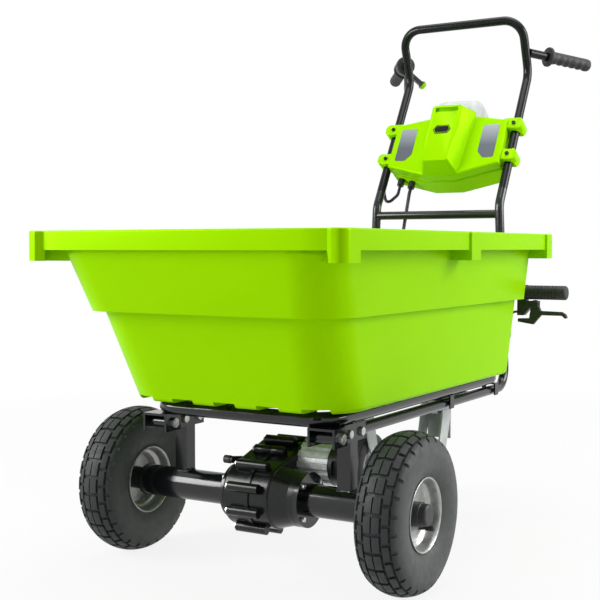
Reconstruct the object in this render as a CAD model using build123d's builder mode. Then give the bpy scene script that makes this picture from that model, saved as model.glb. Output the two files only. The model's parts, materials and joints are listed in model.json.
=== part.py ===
"""Electric garden cart: tipping tub on a tube chassis, driven front axle, two rear casters.

Millimetres, +Z up, ground at Z = 0. The cart's front looks along -Y and the handle is at +Y.
Left and right are the operator's, who stands behind the handle: left is +X.
"""
import os
from math import atan2, cos, radians, sin, tan

from build123d import *

os.makedirs("parts", exist_ok=True)

# Stance
AXLE_Y = -390.1            # front axle line, measured from the middle of the cart's length
TYRE_DIA = 265.0
TYRE_WIDTH = 82.0
WHEEL_X = 277.0            # tyre centre from the middle of the cart
FIT = 0.05                 # radial clearance of a turning fit or a pressed seat
WELD_GAP = 0.1             # room left between welded pieces
RUN_GAP = 0.4              # side clearance of turning pieces

# Tubes
RAIL_DIA = 20.0            # chassis rails, legs and handle
TUB_TUBE_DIA = 25.0        # frame under the tub
CROSS_DIA = 16.0           # crossbar between the legs and the latch striker
DUMP_DIA = 22.0            # bar behind the tub that lifts it
TUBE_WALL = 1.5
RAIL_X = 166.0             # rails, posts and feet of the legs
RAIL_Z = 254.0
RAIL_BEND = 45.0           # bend from rail to leg, on the tube's centre line
LEG_X = 150.0              # legs from the crossbar up
LEG_Y = AXLE_Y + 727.0
CROSS_Z = 632.0
LEAN_Z = 652.0             # height at which the legs begin to lean back
KINK_Y = AXLE_Y + 907.0    # where the handle turns forward again
KINK_Z = 960.0
TOP_Y = AXLE_Y + 861.0
TOP_Z = 1079.0
LEG_SOCKET = 40.0          # length of leg above the lean, where the handle is plugged on
HANDLE_BEND = 45.0

# Front axle
AXLE_TUBE_DIA = 55.0
AXLE_TUBE_WALL = 3.0
AXLE_TUBE_END = 252.0      # outer end of the axle tubes from the middle
FLANGE_DIA = 94.0
FLANGE_THICK = 8.0
FLANGE_BOLT_R = 39.0
SHAFT_DIA = 20.0
SHAFT_END = 306.0
BUSH_LENGTH = 24.0

# Gearbox, seen along X: a drum round the axle, with a lobe up to the motor
CASE_OUT_RIGHT = -50.0     # outer face on the right
CASE_SPLIT = 3.0           # joint plane of the two halves
COVER_FACE = 36.0          # inside of the wall that carries the motor
CASE_COVER = 8.0           # thickness of that wall
CONE_FROM = 34.0           # the left half narrows from here to its flange
CONE_TO = 76.0
CASE_OUT_LEFT = 88.0       # outer face of the left half's flange
CASE_WALL = 6.0
CASE_ROUND = 8.0
DRUM_R = 56.0
CONE_R = 45.0              # narrow end of the cone
CONE_BORE_R = 34.0
LOBE_R = 32.0
BOSS_R = 8.5
BOSS_OUT = 6.0             # boss centres stand this far outside the case wall
BOSS_RIGHT = 34.0          # length of a boss on the right half
BOSS_LEFT = 26.0           # and on the left half
SEAM_OUT = 2.5             # lip along the joint
SEAM_HALF = 3.5
BOLT_DIA = 5.0
MODULE = 2.5
PINION_TEETH = 8
IDLER_BIG_TEETH = 24
IDLER_SMALL_TEETH = 8
RING_TEETH = 34
GEAR_FACE = 14.0
MOTOR_ANGLE = 32.0         # direction from the axle to the motor, up from +Y
CARRIER_R = 18.0
JOURNAL_R = 14.0
IDLER_SHAFT_R = 6.0
ROTOR_SHAFT_R = 5.0

# Motor
MOTOR_DIA = 76.0
FIN_COUNT = 12
FIN_HEIGHT = 4.0
FIN_WIDTH = 10.0
MOTOR_LENGTH = 60.0
MOTOR_BORE = 62.0
CAP_LENGTH = 24.0
ROTOR_DIA = 56.0
ROTOR_LENGTH = 44.0

# Front wheels
RIM_FLANGE_DIA = 124.0
BEAD_DIA = 104.0
RIM_HALF = 30.0            # from the tyre centre to a bead
HUB_DIA = 40.0
HUB_IN = 22.0              # hub's inner end from the tyre centre, towards the cart
HUB_OUT = 26.0
RIM_SHEET = 2.5
WEB_X = 6.0                # wheel disc from the tyre centre, outwards
SHOULDER_DROP = 11.0       # tread is lower at its edges than in the middle
SHOULDER_IN = 7.0
CARCASS = 8.0
TREAD_GROOVE = 3.8         # ring grooves between the rows of blocks
TREAD_SIPE = 2.2           # narrow groove along the middle row
TREAD_DEPTH = 4.0
CROSS_CUT = 6.0            # gap between two blocks of a row
TREAD_PITCHES = 27
INNER_GROOVE_X = 15.0      # ring grooves from the middle of the tread
OUTER_GROOVE_X = 28.0

# Posts that carry the rails on the axle
POST_SIDE = 25.0
POST_WALL = 2.5
POST_Y = AXLE_Y + 0.5
SADDLE_PLATE = 4.0
SADDLE_ROOM = 0.5          # between the rail and a saddle cheek
SADDLE_LENGTH = 74.0
SADDLE_HEIGHT = 30.0
POST_BOLT_PITCH = 41.0
POST_BOLT_DIA = 8.0

# Tub hinge
HINGE_Y = AXLE_Y - 67.0
SLEEVE_DIA = 20.0
PIVOT_DIA = 10.0
BRACKET_WIDTH = 50.0
BRACKET_PLATE = 4.0
BRACKET_LENGTH = 42.0

# Frame under the tub
TUB_FRAME_X = 172.0
TUB_FRAME_FRONT = AXLE_Y - 75.0
TUB_FRAME_REAR = AXLE_Y + 660.0
TUB_FRAME_Z = 282.0
TUB_FRAME_BEND = 45.0
CLIP_PLATE = 3.0
CLIP_LENGTH = 18.0
CLIP_DEPTH = 26.0
CLIP_PLACES = (AXLE_Y + 402.0, AXLE_Y + 640.0)

# Tub: half width, front, rear and the front and rear corner radii at each level
TUB_WALL = 4.0
FLOOR_Z = 308.0            # inside of the floor
FLOOR_THICK = 12.0
LEDGE_Z = 452.0            # step in the walls
RIM_BASE_Z = 550.0
RIM_Z = 586.0
FLOOR_HALF = 219.0
FLOOR_FRONT = AXLE_Y - 115.0
FLOOR_REAR = AXLE_Y + 612.0
FLOOR_CORNER = 85.0
FLOOR_REAR_CORNER = 22.0
STEP_HALF = 236.0
STEP_FRONT = AXLE_Y - 183.0
STEP_REAR = AXLE_Y + 617.0
STEP_CORNER = 78.0
STEP_REAR_CORNER = 26.0
LEDGE_OUT = 15.0           # the walls stand out this far above the step
LEDGE_OUT_REAR = 12.0
TOP_HALF = 264.0
TOP_FRONT = AXLE_Y - 242.0
TOP_REAR = AXLE_Y + 630.0
TOP_CORNER = 72.0
TOP_REAR_CORNER = 34.0
RIM_HALF_WIDTH = 302.0
RIM_FRONT = AXLE_Y - 258.0
RIM_REAR = AXLE_Y + 646.0
RIM_CORNER = 18.0
SKIRT_DROP = 32.0
SKIRT_DEEP = 50.0          # skirt depth at the corners and side pilasters
BLOCK_PROUD = 4.0          # corners and pilasters stand out this far
BLOCK_ACROSS = 34.0        # corner blocks along the front and rear of the rim
BLOCK_ALONG = 46.0         # and along its sides
PILASTER_Y = AXLE_Y + 221.0
PILASTER_LENGTH = 42.0
CHANNEL_PITCH = 84.0       # channels under the floor
CHANNEL_WIDTH = 42.0
CHANNEL_DEPTH = 8.0
TUB_BOLT_PLACES = (AXLE_Y + 110.0, AXLE_Y + 500.0)
TUB_BOLT_DIA = 8.0
TUB_BOLT_HEAD_DIA = 18.0
TUB_BOLT_HEAD = 2.4        # flat head, sunk in the floor
BOLT_PAD_DIA = 30.0        # pads between the floor and the frame tube
BOLT_PAD_DROP = 8.0        # they straddle the tube

# Dump bar, release lever and latch
DUMP_Y = AXLE_Y + 684.0
DUMP_Z = 463.0
DUMP_POST_X = 90.0
DUMP_END_X = 314.2
DUMP_BEND = 40.0
DUMP_GRIP_LENGTH = 86.0
DUMP_GRIP_DIA = 30.0
DUMP_GRIP_RIBS = 9
DUMP_RIB_PITCH = 7.5
DUMP_RIB_DEPTH = 1.3
LEVER_CLAMP_LENGTH = 20.0
LEVER_PIVOT_X = 249.0
LEVER_PIVOT_Z = 438.0
LEVER_THICK = 9.0
LEVER_TIP_X = 316.0
LEVER_BLADE_Z = 419.0
LEVER_PIN_DIA = 6.0
STRIKER_Z = 312.0
HOOK_PIVOT_Y = AXLE_Y + 694.0
HOOK_PIVOT_Z = 322.0
HOOK_THICK = 6.0
HOOK_PIN_DIA = 8.0
RELEASE_CABLE_DIA = 5.0

# Casters
CASTER_X = 92.0
CASTER_Y = AXLE_Y + 523.0
CASTER_DIA = 150.0
CASTER_WIDTH = 38.0
CASTER_TRAIL = 45.0
CASTER_TURN = 180.0        # the left caster has swung round to the front
CASTER_HUB_DIA = 96.0
CASTER_AXLE_DIA = 12.0
BEAM_LENGTH_Y = 76.0
BEAM_TOP_Z = RAIL_Z + RAIL_DIA / 4
BEAM_HEIGHT = 14.0
CASTER_PLATE_X = 84.0
CASTER_PLATE_Y = 70.0
CASTER_PLATE_THICK = 4.0
RACE_DIA = 62.0
RACE_HEIGHT = 14.0
FORK_SHEET = 3.5
FORK_WIDTH_Y = 42.0
FORK_FRONT = 66.0          # depth of the closed front of the fork
KINGPIN_DIA = 12.0

# Control box between the legs, in its own frame along the legs
BOX_LEG_GAP = 3.0          # between the sides of the box and the legs
BOX_HALF = LEG_X - RAIL_DIA / 2 - BOX_LEG_GAP
BOX_LOW = 67.0             # lower edge along the legs from the lean
BOX_LOW_HALF = 34.0
BOX_SIDE_LOW = 96.0
BOX_SIDE_TOP = 212.0
BOX_TOP = 226.0
BOX_TOP_HALF = 64.0
BOX_FRONT = 26.0           # front of the wings, out from the legs
BOX_REAR = 55.0
BOX_SHELL = 3.0
HUMP_HALF = 56.0           # hump where it leaves the box, at its top and its lower end
HUMP_LOW_HALF = 44.0
HUMP_LOW = BOX_LOW + 1.0
HUMP_TOP = 241.0
HUMP_FRONT = 64.0
HUMP_FACE_HALF = 37.0      # front face of the hump, at its top and its lower end
HUMP_FACE_LOW_HALF = 30.0
HUMP_FACE_LOW = 81.0
HUMP_FACE_TOP = 233.0
HUMP_CORNER = 8.0
SLOT_HALF = 28.0           # finger slot near the top of the hump's face
SLOT_LOW = 215.0
SLOT_TOP = 228.0
SLOT_DEPTH = 7.0
LUG_HEIGHT = 28.0
LUG_PLACES = (122.0, 205.0)
LUG_WIDTH = 20.0
LUG_FRONT = 20.0
LUG_REAR = 15.0
BOX_SCREW_DIA = 5.0
BATTERY_HALF = 40.0
BATTERY_LOW = 118.0
BATTERY_TOP = 262.0
BATTERY_REAR = 44.0
BATTERY_FRONT = 12.0
BAY_GAP = 1.5
LID_HALF = 60.0
LID_TOP = 284.0
LID_FRONT = 23.0
LID_WALL = 2.5
LID_CORNER = 26.0
LID_ROUND = 20.0
LID_PIN_DIA = 6.0
LID_BARREL = 20.0          # half length of the hinge barrel
LID_CHEEK = 8.0
CONTROLLER_X = 86.0
CONTROLLER_Y = 150.0
CONTROLLER_WIDTH = 70.0
CONTROLLER_HEIGHT = 80.0
CONTROLLER_DEPTH = 30.0
GLAND_DIA = 16.0
GLAND_LENGTH = 16.0
GLAND_OUT = -20.0          # behind the plane of the legs
MOTOR_GLAND_X = -87.0
THROTTLE_GLAND_X = -116.0
MOTOR_CABLE_X = 62.0       # where the cable enters the motor
MOTOR_CABLE_BEND = 20.0
BEHIND_LEG = -26.0         # throttle cable's way past the leg
MOTOR_CABLE_DIA = 8.0
THROTTLE_CABLE_DIA = 5.0

# Handlebars and throttle, along the bar from the leg's centre line
BAR_Z = TOP_Z - 71.0
BAR_END = (251.0, AXLE_Y + 1028.0, BAR_Z - 20.0)
BAR_DIA = 20.0
GRIP_START = 60.0
GRIP_DIA = 29.0
GRIP_FLANGE_DIA = 45.0
GRIP_FLANGE = 7.0
GRIP_RIBS = 9
THROTTLE_START = 22.0
THROTTLE_LENGTH = 20.0
THROTTLE_DIA = 46.0
THUMB_RING_DIA = 34.0
THUMB_REACH = 62.0


def keep(piece, name):
    """Labels a finished piece and writes its STEP file."""
    piece.label = name
    export_step(piece, f"parts/{name}.step")


def keep_pair(piece, name):
    """Keeps a left piece and its mirror image on the right."""
    keep(piece, f"{name}_left")
    keep(mirror(piece, about=Plane.YZ), f"{name}_right")


def keep_casters(piece, name):
    """Keeps a caster's piece twice: turned round on the left, trailing on the right."""
    swivel = Axis((CASTER_X, CASTER_Y, 0), (0, 0, 1))
    keep(piece.rotate(swivel, CASTER_TURN), f"{name}_left")
    keep(mirror(piece, about=Plane.YZ), f"{name}_right")


def bent_path(points, radius):
    """Adds straight runs joined by tangent arcs of one radius to the open line."""
    corners = [Vector(p) for p in points]
    start = corners[0]
    for before, corner, after in zip(corners, corners[1:], corners[2:]):
        back = (before - corner).normalized()
        ahead = (after - corner).normalized()
        half = radians(back.get_angle(ahead)) / 2
        arc_start = corner + back * (radius / tan(half))
        arc_end = corner + ahead * (radius / tan(half))
        middle = corner + (back + ahead).normalized() * (radius / sin(half) - radius)
        Line(start, arc_start)
        ThreePointArc(arc_start, middle, arc_end)
        start = arc_end
    Line(start, corners[-1])


def tube(points, bend, diameter, wall=TUBE_WALL):
    """A bent round tube along a route of points; wall 0 makes it solid."""
    with BuildPart() as bent:
        with BuildLine() as route:
            bent_path(points, bend)
        with BuildSketch(Plane(origin=route.line @ 0, z_dir=route.line % 0)):
            Circle(diameter / 2)
            if wall:
                Circle(diameter / 2 - wall, mode=Mode.SUBTRACT)
        sweep()
    return bent.part


def rod(start, end, radius):
    """A straight round rod between two points."""
    axis = Vector(end) - Vector(start)
    with BuildPart() as bar:
        with BuildSketch(Plane(origin=start, z_dir=axis)):
            Circle(radius)
        extrude(amount=axis.length)
    return bar.part


def along_x(x):
    """A plane across X whose local x is +Y and local y is +Z, at the axle."""
    return Plane(origin=(x, AXLE_Y, WHEEL_R), x_dir=(0, 1, 0), z_dir=(1, 0, 0))


def hull_sketch(inset=0.0):
    """The gearbox outline, drawn in from its outside by inset."""
    Circle(DRUM_R - inset)
    with Locations(MOTOR_AT):
        Circle(LOBE_R - inset)
    make_hull()


def gear_sketch(teeth, centre, tooth_angle):
    """A spur gear with straight-sided teeth, one of which points along tooth_angle."""
    pitch = MODULE * teeth / 2
    tip = pitch + 0.75 * MODULE
    root = pitch - 1.15 * MODULE
    step = radians(360 / teeth)
    outline = []
    for tooth in range(teeth):
        middle = radians(tooth_angle) + tooth * step
        for radius, share in ((root, -0.30), (tip, -0.12), (tip, 0.12), (root, 0.30)):
            angle = middle + share * step
            outline.append((centre[0] + radius * cos(angle), centre[1] + radius * sin(angle)))
    Polygon(*outline, align=None)


WHEEL_R = TYRE_DIA / 2
RAIL_R = RAIL_DIA / 2
SHAFT_R = SHAFT_DIA / 2
AXLE_TUBE_R = AXLE_TUBE_DIA / 2
SHORT_REACH = MODULE * (RING_TEETH + IDLER_SMALL_TEETH) / 2
LONG_REACH = SHORT_REACH + MODULE * (IDLER_BIG_TEETH + PINION_TEETH) / 2
IDLER_AT = (SHORT_REACH * cos(radians(MOTOR_ANGLE)), SHORT_REACH * sin(radians(MOTOR_ANGLE)))
MOTOR_AT = (LONG_REACH * cos(radians(MOTOR_ANGLE)), LONG_REACH * sin(radians(MOTOR_ANGLE)))
AXLE_LINE = Axis((0, AXLE_Y, WHEEL_R), (1, 0, 0))

# Tyre: a hollow carcass open at the beads, with staggered rows of blocks on the tread
WHEEL_PLANE = Plane(origin=(WHEEL_X, AXLE_Y, WHEEL_R), x_dir=(1, 0, 0), z_dir=(0, -1, 0))
TYRE_HALF = TYRE_WIDTH / 2
BEAD_R = BEAD_DIA / 2
RIM_R = RIM_FLANGE_DIA / 2
BEAD_TOP = RIM_R + 1.0
SHOULDER_R = WHEEL_R - SHOULDER_DROP
SHOULDER_HALF = TYRE_HALF - SHOULDER_IN
INNER_R = SHOULDER_R - CARCASS - 2
INNER_HALF = SHOULDER_HALF - CARCASS - 1
CROWN_R = (SHOULDER_HALF ** 2 + SHOULDER_DROP ** 2) / (2 * SHOULDER_DROP)


def tread_r(x):
    """The tread's radius at a distance from its middle."""
    return WHEEL_R - CROWN_R + (CROWN_R ** 2 - x ** 2) ** 0.5


TREAD_GROOVES = [(0, TREAD_SIPE)] + [
    (side * x, TREAD_GROOVE) for side in (-1, 1) for x in (INNER_GROOVE_X, OUTER_GROOVE_X)
]
MIDDLE_ROW = [
    (-INNER_GROOVE_X, WHEEL_R + 1), (INNER_GROOVE_X, WHEEL_R + 1),
    (INNER_GROOVE_X, tread_r(INNER_GROOVE_X) - TREAD_DEPTH), (0, WHEEL_R - TREAD_DEPTH),
    (-INNER_GROOVE_X, tread_r(INNER_GROOVE_X) - TREAD_DEPTH),
]
SIDE_ROW = [
    (INNER_GROOVE_X, WHEEL_R), (OUTER_GROOVE_X, WHEEL_R),
    (OUTER_GROOVE_X, tread_r(OUTER_GROOVE_X) - TREAD_DEPTH),
    (INNER_GROOVE_X, tread_r(INNER_GROOVE_X) - TREAD_DEPTH),
]
SHOULDER_ROW = [
    (OUTER_GROOVE_X, WHEEL_R), (TYRE_HALF + 1, WHEEL_R), (TYRE_HALF + 1, SHOULDER_R - 2 * TREAD_DEPTH),
    (SHOULDER_HALF, SHOULDER_R - TREAD_DEPTH), (OUTER_GROOVE_X, tread_r(OUTER_GROOVE_X) - TREAD_DEPTH),
]
TREAD_ROWS = [(MIDDLE_ROW, 0.0)] + [
    ([(side * x, r) for x, r in row], phase)
    for side in (-1, 1) for row, phase in ((SIDE_ROW, 0.5), (SHOULDER_ROW, 0.0))
]
with BuildPart() as tyre:
    with BuildSketch(WHEEL_PLANE):
        with BuildLine():
            Line((-RIM_HALF, BEAD_R + FIT), (-RIM_HALF, BEAD_TOP))
            ThreePointArc(
                (-RIM_HALF, BEAD_TOP), (-TYRE_HALF, (BEAD_TOP + SHOULDER_R) / 2), (-SHOULDER_HALF, SHOULDER_R)
            )
            ThreePointArc((-SHOULDER_HALF, SHOULDER_R), (0, WHEEL_R), (SHOULDER_HALF, SHOULDER_R))
            ThreePointArc(
                (SHOULDER_HALF, SHOULDER_R), (TYRE_HALF, (BEAD_TOP + SHOULDER_R) / 2), (RIM_HALF, BEAD_TOP)
            )
            Line((RIM_HALF, BEAD_TOP), (RIM_HALF, BEAD_R + FIT))
            Line((RIM_HALF, BEAD_R + FIT), (RIM_HALF - CARCASS, BEAD_R + FIT))
            ThreePointArc(
                (RIM_HALF - CARCASS, BEAD_R + FIT),
                (TYRE_HALF - CARCASS, (BEAD_R + SHOULDER_R) / 2),
                (INNER_HALF, INNER_R),
            )
            ThreePointArc(
                (INNER_HALF, INNER_R),
                (0, WHEEL_R - CARCASS - 3),
                (-INNER_HALF, INNER_R),
            )
            ThreePointArc(
                (-INNER_HALF, INNER_R),
                (-TYRE_HALF + CARCASS, (BEAD_R + SHOULDER_R) / 2),
                (-RIM_HALF + CARCASS, BEAD_R + FIT),
            )
            Line((-RIM_HALF + CARCASS, BEAD_R + FIT), (-RIM_HALF, BEAD_R + FIT))
        make_face()
    revolve(axis=AXLE_LINE)
    with BuildSketch(WHEEL_PLANE):
        for groove_x, width in TREAD_GROOVES:
            with Locations((groove_x, tread_r(groove_x))):
                Rectangle(width, 2 * TREAD_DEPTH)
    revolve(axis=AXLE_LINE, mode=Mode.SUBTRACT)
    for row, phase in TREAD_ROWS:
        with BuildPart(mode=Mode.PRIVATE) as gap:
            with BuildSketch(WHEEL_PLANE):
                Polygon(*row, align=None)
            extrude(amount=CROSS_CUT / 2, both=True)
        turns = [(pitch + phase) * 360 / TREAD_PITCHES for pitch in range(TREAD_PITCHES)]
        add([gap.part.rotate(AXLE_LINE, turn) for turn in turns], mode=Mode.SUBTRACT)
keep_pair(tyre.part, "tyre")

# Rim: pressed steel barrel with two flanges, a disc and a hub bored for the half shaft
with BuildPart() as rim:
    with BuildSketch(WHEEL_PLANE):
        with BuildLine():
            Polyline(
                (-RIM_HALF - RIM_SHEET, RIM_R), (-RIM_HALF - WELD_GAP, RIM_R), (-RIM_HALF - WELD_GAP, BEAD_R),
                (RIM_HALF + WELD_GAP, BEAD_R), (RIM_HALF + WELD_GAP, RIM_R), (RIM_HALF + RIM_SHEET, RIM_R),
                (RIM_HALF + RIM_SHEET, BEAD_R - RIM_SHEET), (WEB_X + RIM_SHEET, BEAD_R - RIM_SHEET),
                (WEB_X + RIM_SHEET, HUB_DIA / 2), (HUB_OUT, HUB_DIA / 2), (HUB_OUT, SHAFT_R + FIT),
                (-HUB_IN, SHAFT_R + FIT), (-HUB_IN, HUB_DIA / 2), (WEB_X, HUB_DIA / 2),
                (WEB_X, BEAD_R - RIM_SHEET), (-RIM_HALF - RIM_SHEET, BEAD_R - RIM_SHEET),
                close=True,
            )
        make_face()
    revolve(axis=AXLE_LINE)
keep_pair(rim.part, "rim")

# Hub cap over the shaft's end
with BuildPart() as hub_cap:
    with BuildSketch(along_x(WHEEL_X + HUB_OUT)):
        Circle(HUB_DIA / 2 - 2)
    extrude(amount=12)
    fillet(hub_cap.faces().sort_by(Axis.X)[-1].edges(), radius=4)
    with BuildSketch(along_x(WHEEL_X + HUB_OUT)):
        Circle(SHAFT_R + FIT)
    extrude(amount=SHAFT_END - WHEEL_X - HUB_OUT + FIT, mode=Mode.SUBTRACT)
keep_pair(hub_cap.part, "hub_cap")

# Half shafts, from the differential to the hubs
CARRIER_MIDDLE = 20.0
SHAFT_TIP_GAP = 5.0
for side, hand in ((1, "left"), (-1, "right")):
    shaft_from = CARRIER_MIDDLE + side * SHAFT_TIP_GAP
    shaft_to = side * SHAFT_END
    keep(rod((shaft_from, AXLE_Y, WHEEL_R), (shaft_to, AXLE_Y, WHEEL_R), SHAFT_R), f"half_shaft_{hand}")

# Axle tubes: bolted to the gearbox by a disc flange, with a bush at the wheel
for side, hand, face in ((1, "left", CASE_OUT_LEFT), (-1, "right", CASE_OUT_RIGHT)):
    with BuildPart() as axle_tube:
        with BuildSketch(along_x(face)):
            Circle(FLANGE_DIA / 2)
        extrude(amount=side * FLANGE_THICK)
        with BuildSketch(along_x(face)):
            Circle(AXLE_TUBE_R)
        extrude(amount=side * AXLE_TUBE_END - face)
        with BuildSketch(along_x(face)):
            Circle(AXLE_TUBE_R - AXLE_TUBE_WALL)
        extrude(amount=side * (AXLE_TUBE_END - BUSH_LENGTH) - face, mode=Mode.SUBTRACT)
        with BuildSketch(along_x(face)):
            Circle(SHAFT_R + FIT)
        extrude(amount=side * AXLE_TUBE_END - face, mode=Mode.SUBTRACT)
        with BuildSketch(along_x(face)):
            with PolarLocations(FLANGE_BOLT_R, 4, start_angle=45):
                Circle(BOLT_DIA / 2 + FIT)
        extrude(amount=side * FLANGE_THICK, mode=Mode.SUBTRACT)
    keep(axle_tube.part, f"axle_tube_{hand}")

# Gearbox, right half: bolt bosses stand round the outline, and a lip runs along the joint
DRUM_BOSS_ANGLES = (118, 160, 199, 239, 282, 322)
LOBE_BOSS_ANGLES = (-35, 8, 52, 115)
BOSS_PLACES = [
    ((DRUM_R + BOSS_OUT) * cos(radians(a)), (DRUM_R + BOSS_OUT) * sin(radians(a))) for a in DRUM_BOSS_ANGLES
] + [
    (MOTOR_AT[0] + (LOBE_R + BOSS_OUT) * cos(radians(a)), MOTOR_AT[1] + (LOBE_R + BOSS_OUT) * sin(radians(a)))
    for a in LOBE_BOSS_ANGLES
]
FREEWHEEL_AT = (38.0, 49.0)
FREEWHEEL_PIN_R = 5.0
BLIND = 3.0                # depth of a shaft's blind seat in a case wall
with BuildPart() as case_right:
    with BuildSketch(along_x(CASE_OUT_RIGHT)):
        hull_sketch()
    extrude(amount=CASE_SPLIT - CASE_OUT_RIGHT)
    fillet(case_right.faces().sort_by(Axis.X)[0].edges(), radius=CASE_ROUND)
    with BuildSketch(along_x(CASE_SPLIT)):
        hull_sketch(-SEAM_OUT)
    extrude(amount=-SEAM_HALF)
    with BuildSketch(along_x(CASE_SPLIT)):
        with Locations(*BOSS_PLACES):
            Circle(BOSS_R)
    extrude(amount=-BOSS_RIGHT)
    with BuildSketch(along_x(CASE_OUT_RIGHT + CASE_WALL)):
        hull_sketch(CASE_WALL)
    extrude(amount=CASE_SPLIT - CASE_OUT_RIGHT - CASE_WALL, mode=Mode.SUBTRACT)
    with BuildSketch(along_x(CASE_OUT_RIGHT)):
        Circle(JOURNAL_R + FIT)
        with PolarLocations(FLANGE_BOLT_R, 4, start_angle=45):
            Circle(BOLT_DIA / 2)
    extrude(amount=CASE_WALL, mode=Mode.SUBTRACT)
    with BuildSketch(along_x(CASE_OUT_RIGHT)):
        with Locations(FREEWHEEL_AT):
            Circle(FREEWHEEL_PIN_R + FIT)
    extrude(amount=BLIND, mode=Mode.SUBTRACT)
    with BuildSketch(along_x(CASE_OUT_RIGHT + CASE_WALL)):
        with Locations(IDLER_AT):
            Circle(IDLER_SHAFT_R + FIT)
    extrude(amount=-BLIND, mode=Mode.SUBTRACT)
    with BuildSketch(along_x(CASE_SPLIT)):
        with Locations(*BOSS_PLACES):
            Circle(BOLT_DIA / 2 + FIT)
    extrude(amount=-BOSS_RIGHT, mode=Mode.SUBTRACT)
keep(case_right.part, "gearbox_case_right")

# Gearbox, left half: the outline again, the motor's pad and a cone down to the axle flange
MOTOR_FACE = COVER_FACE + CASE_COVER
with BuildPart() as case_left:
    with BuildSketch(along_x(CASE_SPLIT)):
        hull_sketch()
    extrude(amount=MOTOR_FACE - CASE_SPLIT)
    fillet(case_left.faces().sort_by(Axis.X)[-1].edges(), radius=CASE_ROUND / 2)
    with BuildSketch(along_x(MOTOR_FACE)):
        with Locations(MOTOR_AT):
            Circle(MOTOR_DIA / 2 - FIN_HEIGHT)
    extrude(amount=-CASE_COVER)
    with BuildSketch(along_x(CONE_FROM)):
        Circle(DRUM_R)
    with BuildSketch(along_x(CONE_TO)):
        Circle(CONE_R)
    loft()
    with BuildSketch(along_x(CONE_TO)):
        Circle(FLANGE_DIA / 2)
    extrude(amount=CASE_OUT_LEFT - CONE_TO)
    with BuildSketch(along_x(CASE_SPLIT)):
        hull_sketch(-SEAM_OUT)
    extrude(amount=SEAM_HALF)
    with BuildSketch(along_x(CASE_SPLIT)):
        with Locations(*BOSS_PLACES):
            Circle(BOSS_R)
    extrude(amount=BOSS_LEFT)
    with BuildSketch(along_x(CASE_SPLIT)):
        hull_sketch(CASE_WALL)
    extrude(amount=COVER_FACE - CASE_SPLIT, mode=Mode.SUBTRACT)
    with BuildSketch(along_x(COVER_FACE)):
        Circle(CONE_BORE_R)
    extrude(amount=CASE_OUT_LEFT - CASE_WALL - COVER_FACE, mode=Mode.SUBTRACT)
    with BuildSketch(along_x(CASE_OUT_LEFT)):
        Circle(JOURNAL_R + FIT)
        with PolarLocations(FLANGE_BOLT_R, 4, start_angle=45):
            Circle(BOLT_DIA / 2)
    extrude(amount=-CASE_WALL, mode=Mode.SUBTRACT)
    with BuildSketch(along_x(COVER_FACE)):
        with Locations(IDLER_AT):
            Circle(IDLER_SHAFT_R + FIT)
    extrude(amount=BLIND, mode=Mode.SUBTRACT)
    with BuildSketch(along_x(COVER_FACE)):
        with Locations(MOTOR_AT):
            Circle(ROTOR_SHAFT_R + FIT)
    extrude(amount=CASE_COVER, mode=Mode.SUBTRACT)
    with BuildSketch(along_x(CASE_SPLIT)):
        with Locations(*BOSS_PLACES):
            Circle(BOLT_DIA / 2 + FIT)
    extrude(amount=BOSS_LEFT - CASE_WALL, mode=Mode.SUBTRACT)
keep(case_left.part, "gearbox_case_left")

# Case bolts and flange bolts
HEAD_R = 4.5
HEAD_HEIGHT = 5.0
with BuildPart() as gearbox_bolts:
    with BuildSketch(along_x(CASE_SPLIT - BOSS_RIGHT)):
        with Locations(*BOSS_PLACES):
            Circle(BOLT_DIA / 2)
    extrude(amount=BOSS_RIGHT + BOSS_LEFT - 2 * CASE_WALL)
    with BuildSketch(along_x(CASE_SPLIT - BOSS_RIGHT)):
        with Locations(*BOSS_PLACES):
            RegularPolygon(HEAD_R, 6)
    extrude(amount=-HEAD_HEIGHT)
    for side, face in ((1, CASE_OUT_LEFT), (-1, CASE_OUT_RIGHT)):
        with BuildSketch(along_x(face)):
            with PolarLocations(FLANGE_BOLT_R, 4, start_angle=45):
                Circle(BOLT_DIA / 2)
        extrude(amount=side * FLANGE_THICK)
        with BuildSketch(along_x(face + side * FLANGE_THICK)):
            with PolarLocations(FLANGE_BOLT_R, 4, start_angle=45):
                RegularPolygon(HEAD_R, 6)
        extrude(amount=side * HEAD_HEIGHT)
keep(gearbox_bolts.part, "gearbox_bolts")

# Gear train: differential with its ring gear, idler, and motor rotor with the pinion
RING_FROM = -16.0
BIG_FROM = 8.0
with BuildPart() as ring_gear:
    with BuildSketch(along_x(RING_FROM)):
        gear_sketch(RING_TEETH, (0, 0), MOTOR_ANGLE + 180 / RING_TEETH)
    extrude(amount=GEAR_FACE + 4)
    with BuildSketch(along_x(CASE_OUT_RIGHT + CASE_WALL + RUN_GAP)):
        Circle(CARRIER_R)
    extrude(amount=CASE_OUT_LEFT - CASE_OUT_RIGHT - 2 * CASE_WALL - 2 * RUN_GAP)
    with BuildSketch(along_x(CASE_OUT_RIGHT + RUN_GAP)):
        Circle(JOURNAL_R)
    extrude(amount=CASE_OUT_LEFT - CASE_OUT_RIGHT - 2 * RUN_GAP)
    with BuildSketch(along_x(CASE_OUT_RIGHT)):
        Circle(SHAFT_R + FIT)
    extrude(amount=CASE_OUT_LEFT - CASE_OUT_RIGHT, mode=Mode.SUBTRACT)
keep(ring_gear.part, "ring_gear")

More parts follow.
